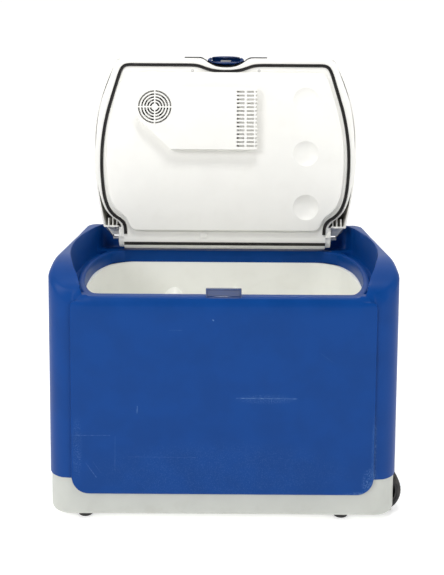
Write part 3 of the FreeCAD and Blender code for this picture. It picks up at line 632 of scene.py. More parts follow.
@dataclass
class Studio:
    """Pale floor, soft light, and the camera."""

    eye_height: float = 0.659
    eye_distance: float = 1.134
    eye_aside: float = 0.0042
    pitch: float = 5.0
    roll: float = 0.38
    lens: float = 48.33
    shift_x: float = -0.0094
    shift_y: float = -0.2217
    white: float = 1.05
    dark: float = 0.09
    dusk: Flat = (-0.75, 0.25)
    floor_reach: float = 40.0
    floor_glow: float = 0.5

    def camera(self) -> None:
        """Set up the camera in front of the cooler."""
        data = bpy.data.cameras.new("camera")
        data.sensor_fit = "VERTICAL"
        data.sensor_height = 36.0
        data.sensor_width = 36.0
        data.lens = self.lens
        data.shift_x, data.shift_y = self.shift_x, self.shift_y
        data.clip_start, data.clip_end = 0.02, 200.0
        eye = bpy.data.objects.new("camera", data)
        turn = Matrix.Rotation(math.radians(90 - self.pitch), 4, "X")
        tilt = Matrix.Rotation(math.radians(self.roll), 4, "Z")
        stand = (DATUM.middle + self.eye_aside, DATUM.front - self.eye_distance, self.eye_height)
        eye.matrix_world = Matrix.Translation(stand) @ turn @ tilt
        bpy.context.scene.collection.objects.link(eye)
        bpy.context.scene.camera = eye

    def lights(self) -> None:
        """Light the cooler softly: a sky that is dim in front and bright behind, and three soft lights."""
        world = bpy.data.worlds.new("studio")
        world.use_nodes = True
        bpy.context.scene.world = world
        network = Network(world.node_tree)
        way = network.node("ShaderNodeTexCoord", {}, {}, "Generated")
        depth = network.node("ShaderNodeSeparateXYZ", {}, {0: way}, "Y")
        strength = network.node("ShaderNodeMapRange", {"interpolation_type": "SMOOTHSTEP"},
                                {"Value": depth, "From Min": self.dusk[0], "From Max": self.dusk[1],
                                 "To Min": self.dark, "To Max": self.white})
        background = world.node_tree.nodes["Background"]
        network.feed(background.inputs["Color"], WHITE)
        network.feed(background.inputs["Strength"], strength)
        middle = (DATUM.middle, 0.0, 0.35)
        for light in (Softbox("key", (-1.6, -2.1, 1.7), middle, (1.1, 0.9), 29.0),
                      Softbox("fill", (2.2, -2.0, 1.2), middle, (0.9, 1.2), 11.0),
                      Softbox("top", (0.0, -0.75, 2.3), (DATUM.middle, 0.12, 0.25), (0.9, 0.5), 15.0)):
            light.hang()

    def floor(self) -> None:
        """Lay a plain pale floor."""
        mesh = bpy.data.meshes.new("floor")
        reach = self.floor_reach
        mesh.from_pydata([(-reach, -reach, 0), (reach, -reach, 0), (reach, reach, 0), (-reach, reach, 0)],
                         [], [(0, 1, 2, 3)])
        floor = bpy.data.objects.new("floor", mesh)
        bpy.context.scene.collection.objects.link(floor)
        recipe = Recipe("floor_pale")
        tone = recipe.noise(400.0, 2.0)
        mesh.materials.append(recipe.finish(
            Base_Color=recipe.blend(tone, (0.80, 0.80, 0.80), (0.83, 0.83, 0.83)), Roughness=0.8,
            Specular_IOR_Level=0.0, Emission_Color=WHITE, Emission_Strength=self.floor_glow))

    def build(self) -> None:
        """Set up the whole studio."""
        bpy.context.scene.view_settings.view_transform = "Standard"
        self.camera()
        self.lights()
        self.floor()


# ------------------------------------------------------------------ mesh work
def join_points(anchors: Sequence[Flat], counts: Sequence[int]) -> list[Flat]:
    """Draw a smooth line through points of a plan.

    Args:
        anchors: The points.
        counts: How many steps each span between them gets.

    Returns:
        The points of the line, both ends included.
    """
    ends = [Vector(a) for a in anchors]
    line: list[Flat] = []
    for k, steps in enumerate(counts):
        a, b = ends[k], ends[k + 1]
        before = ends[k - 1] if k else a - (b - a)
        after = ends[k + 2] if k + 2 < len(ends) else b + (b - a)
        span = (b - a).length
        leave = (b - before) / max((b - before).length, 1e-6) * span
        arrive = (after - a) / max((after - a).length, 1e-6) * span
        for i in range(steps):
            t = i / steps
            h = ((2 * t - 3) * t * t + 1, ((t - 2) * t + 1) * t, (3 - 2 * t) * t * t, (t - 1) * t * t)
            point = a * h[0] + leave * h[1] + b * h[2] + arrive * h[3]
            line.append((point.x, point.y))
    line.append((ends[-1].x, ends[-1].y))
    return line


def around(half: Sequence[Point]) -> list[Point]:
    """Mirror the right half of a ring, front to back, into a whole ring."""
    return list(half) + [(-x, y, z) for x, y, z in half[-2:0:-1]]


def ease(value: float, start: float, end: float) -> float:
    """Return a smooth step of a number between two limits."""
    t = min(max((value - start) / (end - start), 0.0), 1.0)
    return t * t * (3 - 2 * t)


class Skin:
    """A mesh under construction, in the cooler's own frame."""

    def __init__(self) -> None:
        """Start empty."""
        self.points: list[Point] = []
        self.faces: list[tuple[int, ...]] = []

    def ring(self, points: Iterable[Point]) -> list[int]:
        """Add points.

        Args:
            points: The points, in mm.

        Returns:
            Their numbers.
        """
        first = len(self.points)
        self.points.extend(points)
        return list(range(first, len(self.points)))

    def bridge(self, a: Sequence[int], b: Sequence[int]) -> None:
        """Join two closed rings of the same length with a band of faces.

        Args:
            a: The numbers of the first ring's points.
            b: The numbers of the second ring's points.
        """
        for i in range(len(a)):
            j = (i + 1) % len(a)
            self.faces.append((a[i], a[j], b[j], b[i]))

    def tower(self, rings: Sequence[Sequence[Point]], loop: bool = False, caps: bool = False) -> None:
        """Join many rings one after another.

        Args:
            rings: The rings, from first to last.
            loop: Whether the last one joins the first.
            caps: Whether the first and last are closed with a flat face.
        """
        made = [self.ring(r) for r in rings]
        for a, b in zip(made, made[1:] + (made[:1] if loop else [])):
            self.bridge(a, b)
        if caps:
            self.faces.append(tuple(made[0]))
            self.faces.append(tuple(made[-1]))

    def piece(self, name: str, posture: Posture = Posture.STANDING, sharp: float = 35.0) -> bpy.types.Object:
        """Make the object.

        Args:
            name: The piece's name.
            posture: How it was drawn.
            sharp: The angle in degrees above which an edge stays sharp.

        Returns:
            The object, with its place in its mesh.
        """
        mesh = bpy.data.meshes.new(name)
        mesh.from_pydata([DATUM.place(p) for p in self.points], [], self.faces)
        if posture is Posture.LID_SHUT:
            mesh.transform(DATUM.swing())
        return finish_mesh(name, mesh, sharp)


def finish_mesh(name: str, mesh: bpy.types.Mesh, sharp: float = 35.0) -> bpy.types.Object:
    """Merge doubled points, turn the faces outward, shade the mesh and make its object.

    Args:
        name: The piece's name.
        mesh: Its mesh, in place.
        sharp: The angle in degrees above which an edge stays sharp.

    Returns:
        The object.
    """
    work = bmesh.new()
    work.from_mesh(mesh)
    bmesh.ops.remove_doubles(work, verts=work.verts, dist=2e-6)
    bmesh.ops.dissolve_degenerate(work, edges=work.edges, dist=1e-6)
    bmesh.ops.recalc_face_normals(work, faces=work.faces)
    work.to_mesh(mesh)
    work.free()
    mesh.shade_smooth()
    mesh.set_sharp_from_angle(angle=math.radians(sharp))
    made = bpy.data.objects.new(name, mesh)
    bpy.context.scene.collection.objects.link(made)
    return made


def settle(made: bpy.types.Object) -> bpy.types.Object:
    """Turn an object's modifiers into plain mesh and take them off.

    Args:
        made: The object.

    Returns:
        The same object.
    """
    bpy.context.view_layer.update()
    evaluated = made.evaluated_get(bpy.context.evaluated_depsgraph_get())
    mesh = bpy.data.meshes.new_from_object(evaluated)
    made.modifiers.clear()
    made.data = mesh
    return made


def drop(made: bpy.types.Object) -> None:
    """Remove a helper object and its mesh.

    Args:
        made: The object.
    """
    mesh = made.data
    bpy.data.objects.remove(made)
    bpy.data.meshes.remove(mesh)


def brick(low: Point, high: Point, bevel: float = 0.0, steps: int = 3) -> bpy.types.Object:
    """Make a box with rounded edges.

    Args:
        low: Its lowest corner, in mm.
        high: Its highest corner.
        bevel: The radius of its edges.
        steps: How many steps round each edge.

    Returns:
        The box as an object.
    """
    skin = Skin()
    (x0, y0, z0), (x1, y1, z1) = low, high
    skin.tower([[(x0, y0, z), (x1, y0, z), (x1, y1, z), (x0, y1, z)] for z in (z0, z1)], caps=True)
    made = skin.piece("brick")
    if bevel:
        soften(made, bevel, steps)
    return made


def soften(made: bpy.types.Object, width: float, steps: int = 3, angle: float = 28.0) -> bpy.types.Object:
    """Round the sharp edges of a piece.

    Args:
        made: The piece.
        width: The size of the rounding, in mm.
        steps: How many steps it has.
        angle: The least angle in degrees of the edges it rounds.

    Returns:
        The same piece.
    """
    bevel = made.modifiers.new("edges", "BEVEL")
    bevel.width = width / 1000
    bevel.segments = steps
    bevel.limit_method = "ANGLE"
    bevel.angle_limit = math.radians(angle)
    bevel.use_clamp_overlap = True
    bevel.harden_normals = True
    return settle(made)


def carve(made: bpy.types.Object, cutters: Sequence[bpy.types.Object],
          operation: str = "DIFFERENCE") -> bpy.types.Object:
    """Cut helper objects out of a piece, or join them to it, and remove them.

    Args:
        made: The piece.
        cutters: The helpers.
        operation: The Boolean modifier's operation.

    Returns:
        The same piece.
    """
    for cutter in cutters:
        cut = made.modifiers.new("cut", "BOOLEAN")
        cut.operation = operation
        cut.object = cutter
        cut.solver = "EXACT"
        settle(made)
        drop(cutter)
    return made


def gather(name: str, parts: Sequence[bpy.types.Object]) -> bpy.types.Object:
    """Put several objects into one piece, as they are.

    Args:
        name: The piece's name.
        parts: The objects, which are used up.

    Returns:
        The piece.
    """
    work = bmesh.new()
    for part in parts:
        work.from_mesh(part.data)
    mesh = bpy.data.meshes.new(name)
    work.to_mesh(mesh)
    work.free()
    for part in parts:
        drop(part)
    made = bpy.data.objects.new(name, mesh)
    bpy.context.scene.collection.objects.link(made)
    return made


def repaint(made: bpy.types.Object, slot: str) -> bpy.types.Object:
    """Give a piece the finish of one material slot of the record.

    Args:
        made: The piece.
        slot: The slot.

    Returns:
        The same piece.
    """
    made.data.materials.clear()
    made.data.materials.append(WARDROBE.get(slot))
    return made


def hand_over(made: bpy.types.Object, body: str, slot: str, *nodes: str) -> bpy.types.Object:
    """Dress a finished piece, put it on its body and let it stand for its nodes.

    Args:
        made: The piece.
        body: The body it rides on.
        slot: Its material slot.
        nodes: The nodes it stands for.

    Returns:
        The piece.
    """
    repaint(made, slot)
    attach(made, body)
    if nodes:
        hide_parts(*nodes)
    LOG.info("%s on %s: %d faces", made.name, body, len(made.data.polygons))
    return made


# ------------------------------------------------------------------ casing
@dataclass(frozen=True)
class Hollow:
    """A recess in a side wall of the casing, with a wall of its own behind it."""

    low: Point
    high: Point
    bevel: float
    wall: float = 3.0
    inset: float = 1.0
    past: float = 20.0

    def sink(self, shell: bpy.types.Object) -> None:
        """Add the wall behind the recess to the casing, and cut the recess out.

        Args:
            shell: The casing.
        """
        (x0, y0, z0), (x1, y1, z1), t = self.low, self.high, self.wall
        inset, past = self.inset, self.past
        if x0 < 0:
            pan = (x0 + inset, x1 + t)
            room = (x0 - past, x1)
        else:
            pan = (x0 - t, x1 - inset)
            room = (x0, x1 + past)
        carve(shell, [brick((pan[0], y0 - t, z0 - t), (pan[1], y1 + t, z1 + t), self.bevel)], "UNION")
        carve(shell, [brick((room[0], y0, z0), (room[1], y1, z1), self.bevel)])


@dataclass
class Casing:
    """Blue casing: walls, front panel, shoulders, lid pocket and sealing ridge."""

    half_width: float = 271.0
    back: float = 395.0
    corner: float = 36.0
    panel_half: float = 231.0
    panel_proud: float = 4.0
    panel_foot: float = 45.0
    panel_corner: float = 26.0
    seam: float = 68.0
    rim: float = 352.0
    shoulder: float = 398.0
    lip_round: float = 6.5
    brow_start: float = 346.0
    brow_depth: float = 95.0
    edge_round: float = 9.0
    rear_round: float = 18.0
    wall: float = 3.0
    mouth_foot: float = 330.0
    back_height: float = 336.0
    inner_height: float = 334.0
    notch: float = 358.0
    notch_start: float = 340.0
    notch_end: float = 352.0
    notch_step: float = 14.0
    notch_step_x: float = 206.0
    notch_ramp: float = 1.19
    notch_ramp_x: float = 219.0
    lip_end_x: float = 199.0
    brow_start_x: float = 216.0
    groove: float = 345.0
    groove_start: float = 20.0
    groove_end: float = 42.0
    rear_shelf: float = 352.6
    rear_shelf_start: float = 345.0
    pocket_step: float = 0.6
    edge_floor: float = 338.5
    edge_steps: int = 9
    counts: tuple[int, ...] = (16, 10, 5, 8, 8, 8, 8, 8, 8, 8, 6, 5, 3, 8)
    lid_gap: float = 1.3
    lid_floor: float = 354.4
    lid_edge: tuple[Flat, ...] = (
        (1.5, 206), (6, 213), (14, 217), (49, 231.8), (84, 243.8), (110, 248.4), (135, 251.3), (185, 253.6),
        (243, 249.4), (280, 244.2), (307.5, 238.2), (332, 233.2))
    pocket: tuple[Flat, ...] = (
        (0, 6.5), (198, 6.5), (209, 7), (218, 13.5), (225, 27), (236.5, 53), (251, 108), (260.5, 184),
        (260.5, 262), (252, 338), (247, 356), (240, 371), (219, 371), (206, 369), (0, 367))
    ridge: tuple[Flat, ...] = (
        (0, 15), (192, 15), (203, 17), (211, 24), (217, 34), (225, 54), (238, 108), (247, 184),
        (245, 262), (229, 332), (222, 345), (214, 352), (208, 354), (204, 354), (0, 354))
    mouth: tuple[Flat, ...] = (
        (0, 24.5), (186, 24.5), (197, 26), (203, 32), (209, 43), (216, 62), (228, 108), (236.5, 184),
        (235, 262), (218, 322), (207, 335), (197, 342), (192, 344.5), (184, 345), (0, 345))

    hollows: tuple[Hollow, ...] = (
        Hollow((-271, 95, 156), (-251, 300, 332), 6.0), Hollow((250, 135, 292), (271, 260, 330), 6.0))

    def outer_line(self, inset: float = 0.0) -> list[Flat]:
        """Draw the right half of the wall's plan.

        Args:
            inset: How far inside the outer face it runs.

        Returns:
            The points, from the middle of the front to the middle of the back.
        """
        w, r = self.half_width - inset, self.corner - inset
        y0, y1 = self.panel_proud + inset, self.back - inset
        flat = self.panel_half - (inset if inset else 0.0)
        step = y0 if inset else 0.0
        cx = self.half_width - self.corner
        cy0, cy1 = self.panel_proud + self.corner, self.back - self.corner
        line: list[Flat] = []
        spans: list[Callable[[float], Flat]] = [
            lambda t: (199 * t, step),
            lambda t: (199 + (flat - 199) * math.sin(t * math.pi / 2), step),
            lambda t: (flat + (cx - flat) * t * 0.55, step + (y0 - step) * ease(t, 0.0, 0.6)),
            lambda t: (flat + (cx - flat) * (0.55 + 0.45 * t), y0),
        ]
        spans[3] = lambda t: (cx + r * math.sin(t * math.pi / 4), cy0 - r * math.cos(t * math.pi / 4))
        spans.append(lambda t: (cx + r * math.sin((1 + t) * math.pi / 4),
                                cy0 - r * math.cos((1 + t) * math.pi / 4)))
        marks = (cy0, 108.0, 184.0, 262.0, cy1)
        for a, b in zip(marks, marks[1:]):
            spans.append(lambda t, a=a, b=b: (w, a + (b - a) * t))
        spans.append(lambda t: (cx + r * math.cos(t * math.pi / 4), cy1 + r * math.sin(t * math.pi / 4)))
        spans.append(lambda t: (cx + r * math.cos((1 + t) * math.pi / 4),
                                cy1 + r * math.sin((1 + t) * math.pi / 4)))
        spans.append(lambda t: (cx + (219 - cx) * t, y1))
        spans.append(lambda t: (219 - 13 * t, y1))
        spans.append(lambda t: (206 * (1 - t), y1))
        for span, count in zip(spans, self.counts):
            line += [span(i / count) for i in range(count)]
        return line + [(0.0, y1)]

    def clear_of_lid(self, point: Point) -> Point:
        """Lower a point that the shut lid would touch to just under the lid's rim.

        Args:
            point: The point.

        Returns:
            The point, lowered or as it was.
        """
        x, y, z = point
        for (y0, x0), (y1, x1) in zip(self.lid_edge, self.lid_edge[1:]):
            if y0 <= y <= y1 and abs(x) < x0 + (x1 - x0) * (y - y0) / (y1 - y0) + self.lid_gap:
                return (x, y, min(z, self.lid_floor))
        return point

    def low_edge(self, x: float, y: float) -> float:
        """Find the casing's lower edge at a place on its wall.

        Args:
            x: The place across.
            y: The depth.

        Returns:
            The height of the edge.
        """
        if y > self.panel_proud - 0.01 or x > self.panel_half:
            return self.seam
        r = self.panel_corner
        over = x - (self.panel_half - r)
        return self.panel_foot + (r - math.sqrt(max(r * r - over * over, 0.0)) if over > 0 else 0.0)

    def brow(self, y: float) -> float:
        """Find the top of the shoulder, which rises from the front and drops at the rear.

        Args:
            y: The depth.

        Returns:
            The height of the top.
        """
        t = min(max((y - self.panel_proud) / self.brow_depth, 0.0), 1.0)
        height = self.brow_start + (self.shoulder - self.brow_start) * math.sqrt(1 - (1 - t) ** 2)
        over = y - (self.back - self.rear_round)
        if over > 0:
            r = self.rear_round
            height -= r - math.sqrt(max(r * r - over * over, 0.0))
        return height

    def top(self, x: float, y: float) -> float:
        """Find the casing's upper surface outside the pocket.

        Args:
            x: The place across.
            y: The depth.

        Returns:
            The height of the surface.
        """
        t = min(max(y / self.lip_round, 0.0), 1.0)
        lip = self.rim - self.lip_round + self.lip_round * math.sqrt(1 - (1 - t) ** 2)
        share = ease(x, self.lip_end_x, self.brow_start_x)
        height = lip * (1 - share) + self.brow(y) * share
        if y > self.notch_start:
            step = self.notch_step if x > self.notch_step_x else 0.0
            slope = self.notch + step + max(x - self.notch_ramp_x, 0.0) * self.notch_ramp
            drop_share = ease(y, self.notch_start, self.notch_end)
            height = min(height, slope * drop_share + height * (1 - drop_share))
        return height

    def wall_rings(self, wall: Sequence[Flat]) -> list[list[Point]]:
        """Draw the rings up the outer face.

        Args:
            wall: The wall's plan.

        Returns:
            The rings, from the lower edge up.
        """
        low = [self.low_edge(x, y) for x, y in wall]
        rings = [[(x, y + 0.6 * (y < 5), z) for (x, y), z in zip(wall, low)]]
        for rise in (1.2, 3.5):
            rings.append([(x, y, z + rise) for (x, y), z in zip(wall, low)])
        for level in (90, 130, 180, 230, 280, 320, 338):
            rings.append([(x, y, max(float(level), z + 4)) for (x, y), z in zip(wall, low)])
        return rings

    def top_rings(self, wall: Sequence[Flat], pocket: Sequence[Flat]) -> list[list[Point]]:
        """Draw the rings of the rounded upper edge and of the surface inside it.

        Args:
            wall: The wall's plan.
            pocket: The plan of the lid pocket's edge.

        Returns:
            The rings, from the wall to the pocket.
        """
        rings = []
        for k in range(1, self.edge_steps + 1):
            angle = k / self.edge_steps * math.pi / 2
            ring = []
            for (ox, oy), (px, py) in zip(wall, pocket):
                far = math.hypot(px - ox, py - oy)
                reach = min(self.edge_round, far * 0.9) * (1 - math.cos(angle))
                share = reach / max(far, 1e-6)
                x, y = ox + (px - ox) * share, oy + (py - oy) * share
                start = min(self.top(ox, oy), self.top(x, y)) - self.edge_round
                height = start + (self.top(x, y) - start) * math.sin(angle)
                ring.append((x, y, max(height, self.edge_floor)))
            rings.append(ring)
        for share in (0.45, 0.7, 0.88, 1.0):
            ring = []
            for (ox, oy), (px, py) in zip(wall, pocket):
                far = math.hypot(px - ox, py - oy)
                begin = min(self.edge_round, far * 0.9) / max(far, 1e-6)
                part = begin + (1 - begin) * share
                x, y = ox + (px - ox) * part, oy + (py - oy) * part
                sink = self.pocket_step if share == 1.0 else 0.0
                ring.append((x, y, self.top(x, y) - sink))
            rings.append(ring)
        return rings

    def pocket_rings(self, pocket: Sequence[Flat], ridge: Sequence[Flat],
                     mouth: Sequence[Flat]) -> list[list[Point]]:
        """Draw the rings of the pocket: down its side, along the groove and up the sealing ridge.

        Args:
            pocket: The plan of the pocket's edge.
            ridge: The plan of the ridge's outer edge.
            mouth: The plan of the mouth.

        Returns:
            The rings, inwards.
        """
        floor = [self.floor_height(y) for _, y in pocket]
        rings = []
        for slip, lift in ((0.9, 0.75), (1.5, 0.35), (2.2, 0.08), (4.2, 0.0)):
            ring = []
            for (px, py), (rx, ry), base in zip(pocket, ridge, floor):
                far = max(math.hypot(rx - px, ry - py), 1e-6)
                share = min(slip / far, 0.8)
                x, y = px + (rx - px) * share, py + (ry - py) * share
                ring.append((x, y, base + (self.top(px, py) - self.pocket_step - base) * lift))
            rings.append(ring)
        for outward, height in ((-2.2, None), (-0.8, -2.5), (0.4, -0.7), (1.8, 0.0)):
            ring = []
            for (rx, ry), (mx, my), base in zip(ridge, mouth, floor):
                far = max(math.hypot(mx - rx, my - ry), 1e-6)
                x, y = rx + (mx - rx) * outward / far, ry + (my - ry) * outward / far
                lowest = min(base, self.rim)
                ring.append((x, y, lowest if height is None else max(self.rim + height, lowest)))
            rings.append(ring)
        return rings

    def mouth_rings(self, ridge: Sequence[Flat], mouth: Sequence[Flat]) -> list[list[Point]]:
        """Draw the rings of the mouth, from the rim down to its foot and back out under the ridge.

        Args:
            ridge: The plan of the ridge's outer edge.
            mouth: The plan of the mouth.

        Returns:
            The rings, downwards.
        """
        rings = []
        for outward, height in ((-1.8, 0.0), (-0.5, -0.6), (0.0, -2.0), (0.6, -14.0)):
            ring = []
            for (mx, my), (rx, ry) in zip(mouth, ridge):
                far = max(math.hypot(mx - rx, my - ry), 1e-6)
                x, y = mx + (mx - rx) * outward / far, my + (my - ry) * outward / far
                ring.append((x, y, self.rim + height))
            rings.append(ring)
        rings.append([(x * 0.998, y, self.mouth_foot) for x, y in mouth])
        back_out = [(mx + (rx - mx) * 0.3, my + (ry - my) * 0.3) for (mx, my), (rx, ry) in zip(mouth, ridge)]
        rings += [[(x, y, z) for x, y in back_out] for z in (self.mouth_foot, self.back_height)]
        return rings

    def inner_rings(self, wall: Sequence[Flat]) -> list[list[Point]]:
        """Draw the rings down the inner face.

        Args:
            wall: The outer wall's plan, for the height of the lower edge.

        Returns:
            The rings, downwards.
        """
        inner = self.outer_line(self.wall)
        low = [self.low_edge(x, y) for x, y in wall]
        rings = [[(x, y, z) for x, y in inner] for z in (self.inner_height, self.seam + 3)]
        rings.append([(x, max(y, 3.0) if y > 4 else 3.0, z) for (x, y), z in zip(inner, low)])
        return rings

    def rings(self) -> list[list[Point]]:
        """Draw the rings of the casing, up the outside, over the top and down the inside.

        Returns:
            The right halves of the rings, in order.
        """
        wall = self.outer_line()
        pocket = join_points(self.pocket, self.counts)
        ridge = join_points(self.ridge, self.counts)
        mouth = join_points(self.mouth, self.counts)
        return (self.wall_rings(wall) + self.top_rings(wall, pocket) + self.pocket_rings(pocket, ridge, mouth)
                + self.mouth_rings(ridge, mouth) + self.inner_rings(wall))

    def floor_height(self, y: float) -> float:
        """Find the floor of the groove beside the ridge.

        Args:
            y: The depth.

        Returns:
            The height of the floor.
        """
        if y > self.rear_shelf_start:
            return self.rear_shelf
        share = ease(y, self.groove_start, self.groove_end)
        return self.rim * (1 - share) + self.groove * share

    def build(self) -> None:
        """Make the casing and its side recesses, and hand it over."""
        skin = Skin()
        skin.tower([around([self.clear_of_lid(p) for p in r]) for r in self.rings()], loop=True)
        shell = skin.piece("casing_shell", sharp=50.0)
        for hollow in self.hollows:
            hollow.sink(shell)
        hand_over(shell, "case", "casing_blue", "outer_shell")


# ------------------------------------------------------------------ repeated parts
class Layout(Enum):
    """How a repeated part is laid out."""

    RING = "ring"
    ROW = "row"


@dataclass
class Repeater:
    """A Geometry Nodes tree that repeats one part round a circle or along a line.

    In a ring the part is drawn with x pointing outwards and z along the axis; a row runs along x.
    """

    name: str
    layout: Layout
    count: int
    reach: float
    slot: str

    def tree(self) -> tuple[bpy.types.NodeTree, dict[str, str]]:
        """Build the tree.

        Returns:
            The tree and the identifiers of its named inputs.
        """
        tree = bpy.data.node_groups.new(self.name, "GeometryNodeTree")
        tree.interface.new_socket("Geometry", in_out="OUTPUT", socket_type="NodeSocketGeometry")
        kinds = {"Part": "NodeSocketObject", "Count": "NodeSocketInt", "Reach": "NodeSocketFloat",
                 "Finish": "NodeSocketMaterial"}
        keys = {name: tree.interface.new_socket(name, in_out="INPUT", socket_type=kind).identifier
                for name, kind in kinds.items()}
        network = Network(tree)
        given = {name: network.node("NodeGroupInput", {}, {}, name) for name in kinds}
        part = network.node("GeometryNodeObjectInfo", {}, {"Object": given["Part"]}, "Geometry")
        placed = {"Instance": part, **self.points(network, given)}
        copies = network.node("GeometryNodeInstanceOnPoints", {}, placed, "Instances")
        real = network.node("GeometryNodeRealizeInstances", {}, {"Geometry": copies}, "Geometry")
        dressed = network.node("GeometryNodeSetMaterial", {},
                               {"Geometry": real, "Material": given["Finish"]}, "Geometry")
        network.feed(tree.nodes.new("NodeGroupOutput").inputs["Geometry"], dressed)
        return tree, keys

    def points(self, network: Network, given: dict[str, Signal]) -> dict[str, Signal]:
        """Lay out the points that the parts stand on.

        Args:
            network: The tree.
            given: Its named inputs.

        Returns:
            The points, with the turn of the part at each where it has one, by socket name.
        """
        if self.layout is Layout.RING:
            ring = network.node("GeometryNodeMeshCircle", {},
                                {"Vertices": given["Count"], "Radius": given["Reach"]}, "Mesh")
            here = network.node("GeometryNodeInputPosition", {}, {}, "Position")
            turn = network.node("FunctionNodeAlignRotationToVector", {"axis": "X"}, {"Vector": here},
                                "Rotation")
            return {"Points": ring, "Rotation": turn}
        step = network.node("ShaderNodeCombineXYZ", {}, {"X": given["Reach"]}, "Vector")
        row = network.node("GeometryNodeMeshLine", {}, {"Count": given["Count"], "Offset": step}, "Mesh")
        return {"Points": row}

    def piece(self, part: bpy.types.Object, place: Matrix) -> bpy.types.Object:
        """Make the repeated parts as one plain mesh.

        Args:
            part: The part to repeat, which is used up.
            place: Where the middle of the ring or the start of the row goes, in metres.

        Returns:
            The object, with its place in its mesh.
        """
        tree, keys = self.tree()
        made = bpy.data.objects.new(self.name, bpy.data.meshes.new(self.name))
        bpy.context.scene.collection.objects.link(made)
        repeat = made.modifiers.new("repeat", "NODES")
        repeat.node_group = tree
        repeat[keys["Part"]] = part
        repeat[keys["Count"]] = self.count
        repeat[keys["Reach"]] = self.reach / 1000
        repeat[keys["Finish"]] = WARDROBE.get(self.slot)
        settle(made)
        made.data.transform(place)
        drop(part)
        return made


def local_part(skin: Skin, name: str = "part", sharp: float = 35.0) -> bpy.types.Object:
    """Make a part for a repeater, drawn round its own origin.

    Args:
        skin: Its skin, in mm.
        name: The object's name.
        sharp: Edges sharper than this many degrees stay sharp.

    Returns:
        The part.
    """
    mesh = bpy.data.meshes.new(name)
    mesh.from_pydata([Vector(p) / 1000 for p in skin.points], [], skin.faces)
    return finish_mesh(name, mesh, sharp)


def local_block(low: Point, high: Point, bevel: float) -> bpy.types.Object:
    """Make a block with rounded edges for a repeater, round its own origin.

    Args:
        low: Its lowest corner, in mm.
        high: Its highest corner.
        bevel: The radius of its edges.

    Returns:
        The block.
    """
    skin = Skin()
    (x0, y0, z0), (x1, y1, z1) = low, high
    skin.tower([[(x0, y0, z), (x1, y0, z), (x1, y1, z), (x0, y1, z)] for z in (z0, z1)], caps=True)
    return soften(local_part(skin), bevel, 2)


def pan_head(radius: float, rise: float) -> bpy.types.Object:
    """Make a cross-slotted screw head for a repeater: domed, with its top towards z.

    Args:
        radius: Its radius, in mm.
        rise: Its height.

    Returns:
        The head.
    """
    skin = Skin()
    levels = ((1.0, -0.6), (1.0, 0.25), (0.94, 0.6), (0.78, 0.85), (0.5, 0.98), (0.2, 1.0))
    skin.tower([[(radius * share * math.cos(a), radius * share * math.sin(a), rise * lift)
                 for a in (k * math.tau / 20 for k in range(20))] for share, lift in levels], caps=True)
    head = local_part(skin)
    arm, deep = radius * 0.62, rise * 0.25
    for wide, long in ((arm, radius * 0.13), (radius * 0.13, arm)):
        cut = Skin()
        cut.tower([[(-wide, -long, z), (wide, -long, z), (wide, long, z), (-wide, long, z)]
                   for z in (deep, rise * 2)], caps=True)
        carve(head, [local_part(cut)])
    return head


def stand_at(point: Point, turn: Matrix | None = None, swung: bool = False) -> Matrix:
    """Return the matrix that puts a repeater's origin at a place of the cooler's frame.

    Args:
        point: The place, in mm.
        turn: A turn about that place.
        swung: Whether the place is given with the lid shut, and opens with it.

    Returns:
        The matrix.
    """
    place = Matrix.Translation(DATUM.place(point)) @ (turn or Matrix.Identity(4))
    return DATUM.swing() @ place if swung else place


# ------------------------------------------------------------------ nodes with rounded edges
def node_facts(node: str) -> tuple[str, str]:
    """Return the body and the material slot of a frame node."""
    slot = next(s["material_slot"] for s in frame["record"]["subparts"] if s["node"] == node)
    return frame["nodes"][node]["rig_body"], slot


@dataclass(frozen=True)
class Rounded:
    """A frame node copied with its hard edges rounded, under a name of its own."""

    node: str
    name: str
    width: float
    steps: int = 2
    angle: float = 32.0

    def build(self) -> bpy.types.Object:
        """Make the copy and hand it over.

        Returns:
            The piece.
        """
        source = frame["nodes"][self.node].data
        mesh = bpy.data.meshes.new(self.name)
        mesh.from_pydata([v.co for v in source.vertices], [], [tuple(f.vertices) for f in source.polygons])
        work = bmesh.new()
        work.from_mesh(mesh)
        bmesh.ops.remove_doubles(work, verts=work.verts, dist=2e-6)
        bmesh.ops.dissolve_limit(work, angle_limit=math.radians(1.0), verts=work.verts, edges=work.edges)
        work.to_mesh(mesh)
        work.free()
        made = finish_mesh(self.name, mesh)
        soften(made, self.width, self.steps, self.angle)
        body, slot = node_facts(self.node)
        return hand_over(made, body, slot, self.node)


ROUNDED_NODES = (
    Rounded("base_tray", "bumper_base", 1.4, 3),
    Rounded("liner_tub", "tub", 1.6, 3),
    Rounded("lid_outer_shell", "lid_cover", 1.2, 3),
    Rounded("hinge_barrel", "lid_barrel", 0.8, 2),
    Rounded("duct_cover", "air_duct", 0.7, 2),
    Rounded("top_grille", "vent_grille", 0.5, 2),
    Rounded("power_socket", "inlet", 0.5, 2),
    Rounded("feet", "rubber_feet", 1.2, 3),
    Rounded("tow_handle", "tow_bail", 1.0, 3),
    Rounded("hot_sink", "outer_sink", 0.2, 1),
    Rounded("cold_sink", "inner_sink", 0.2, 1),
)


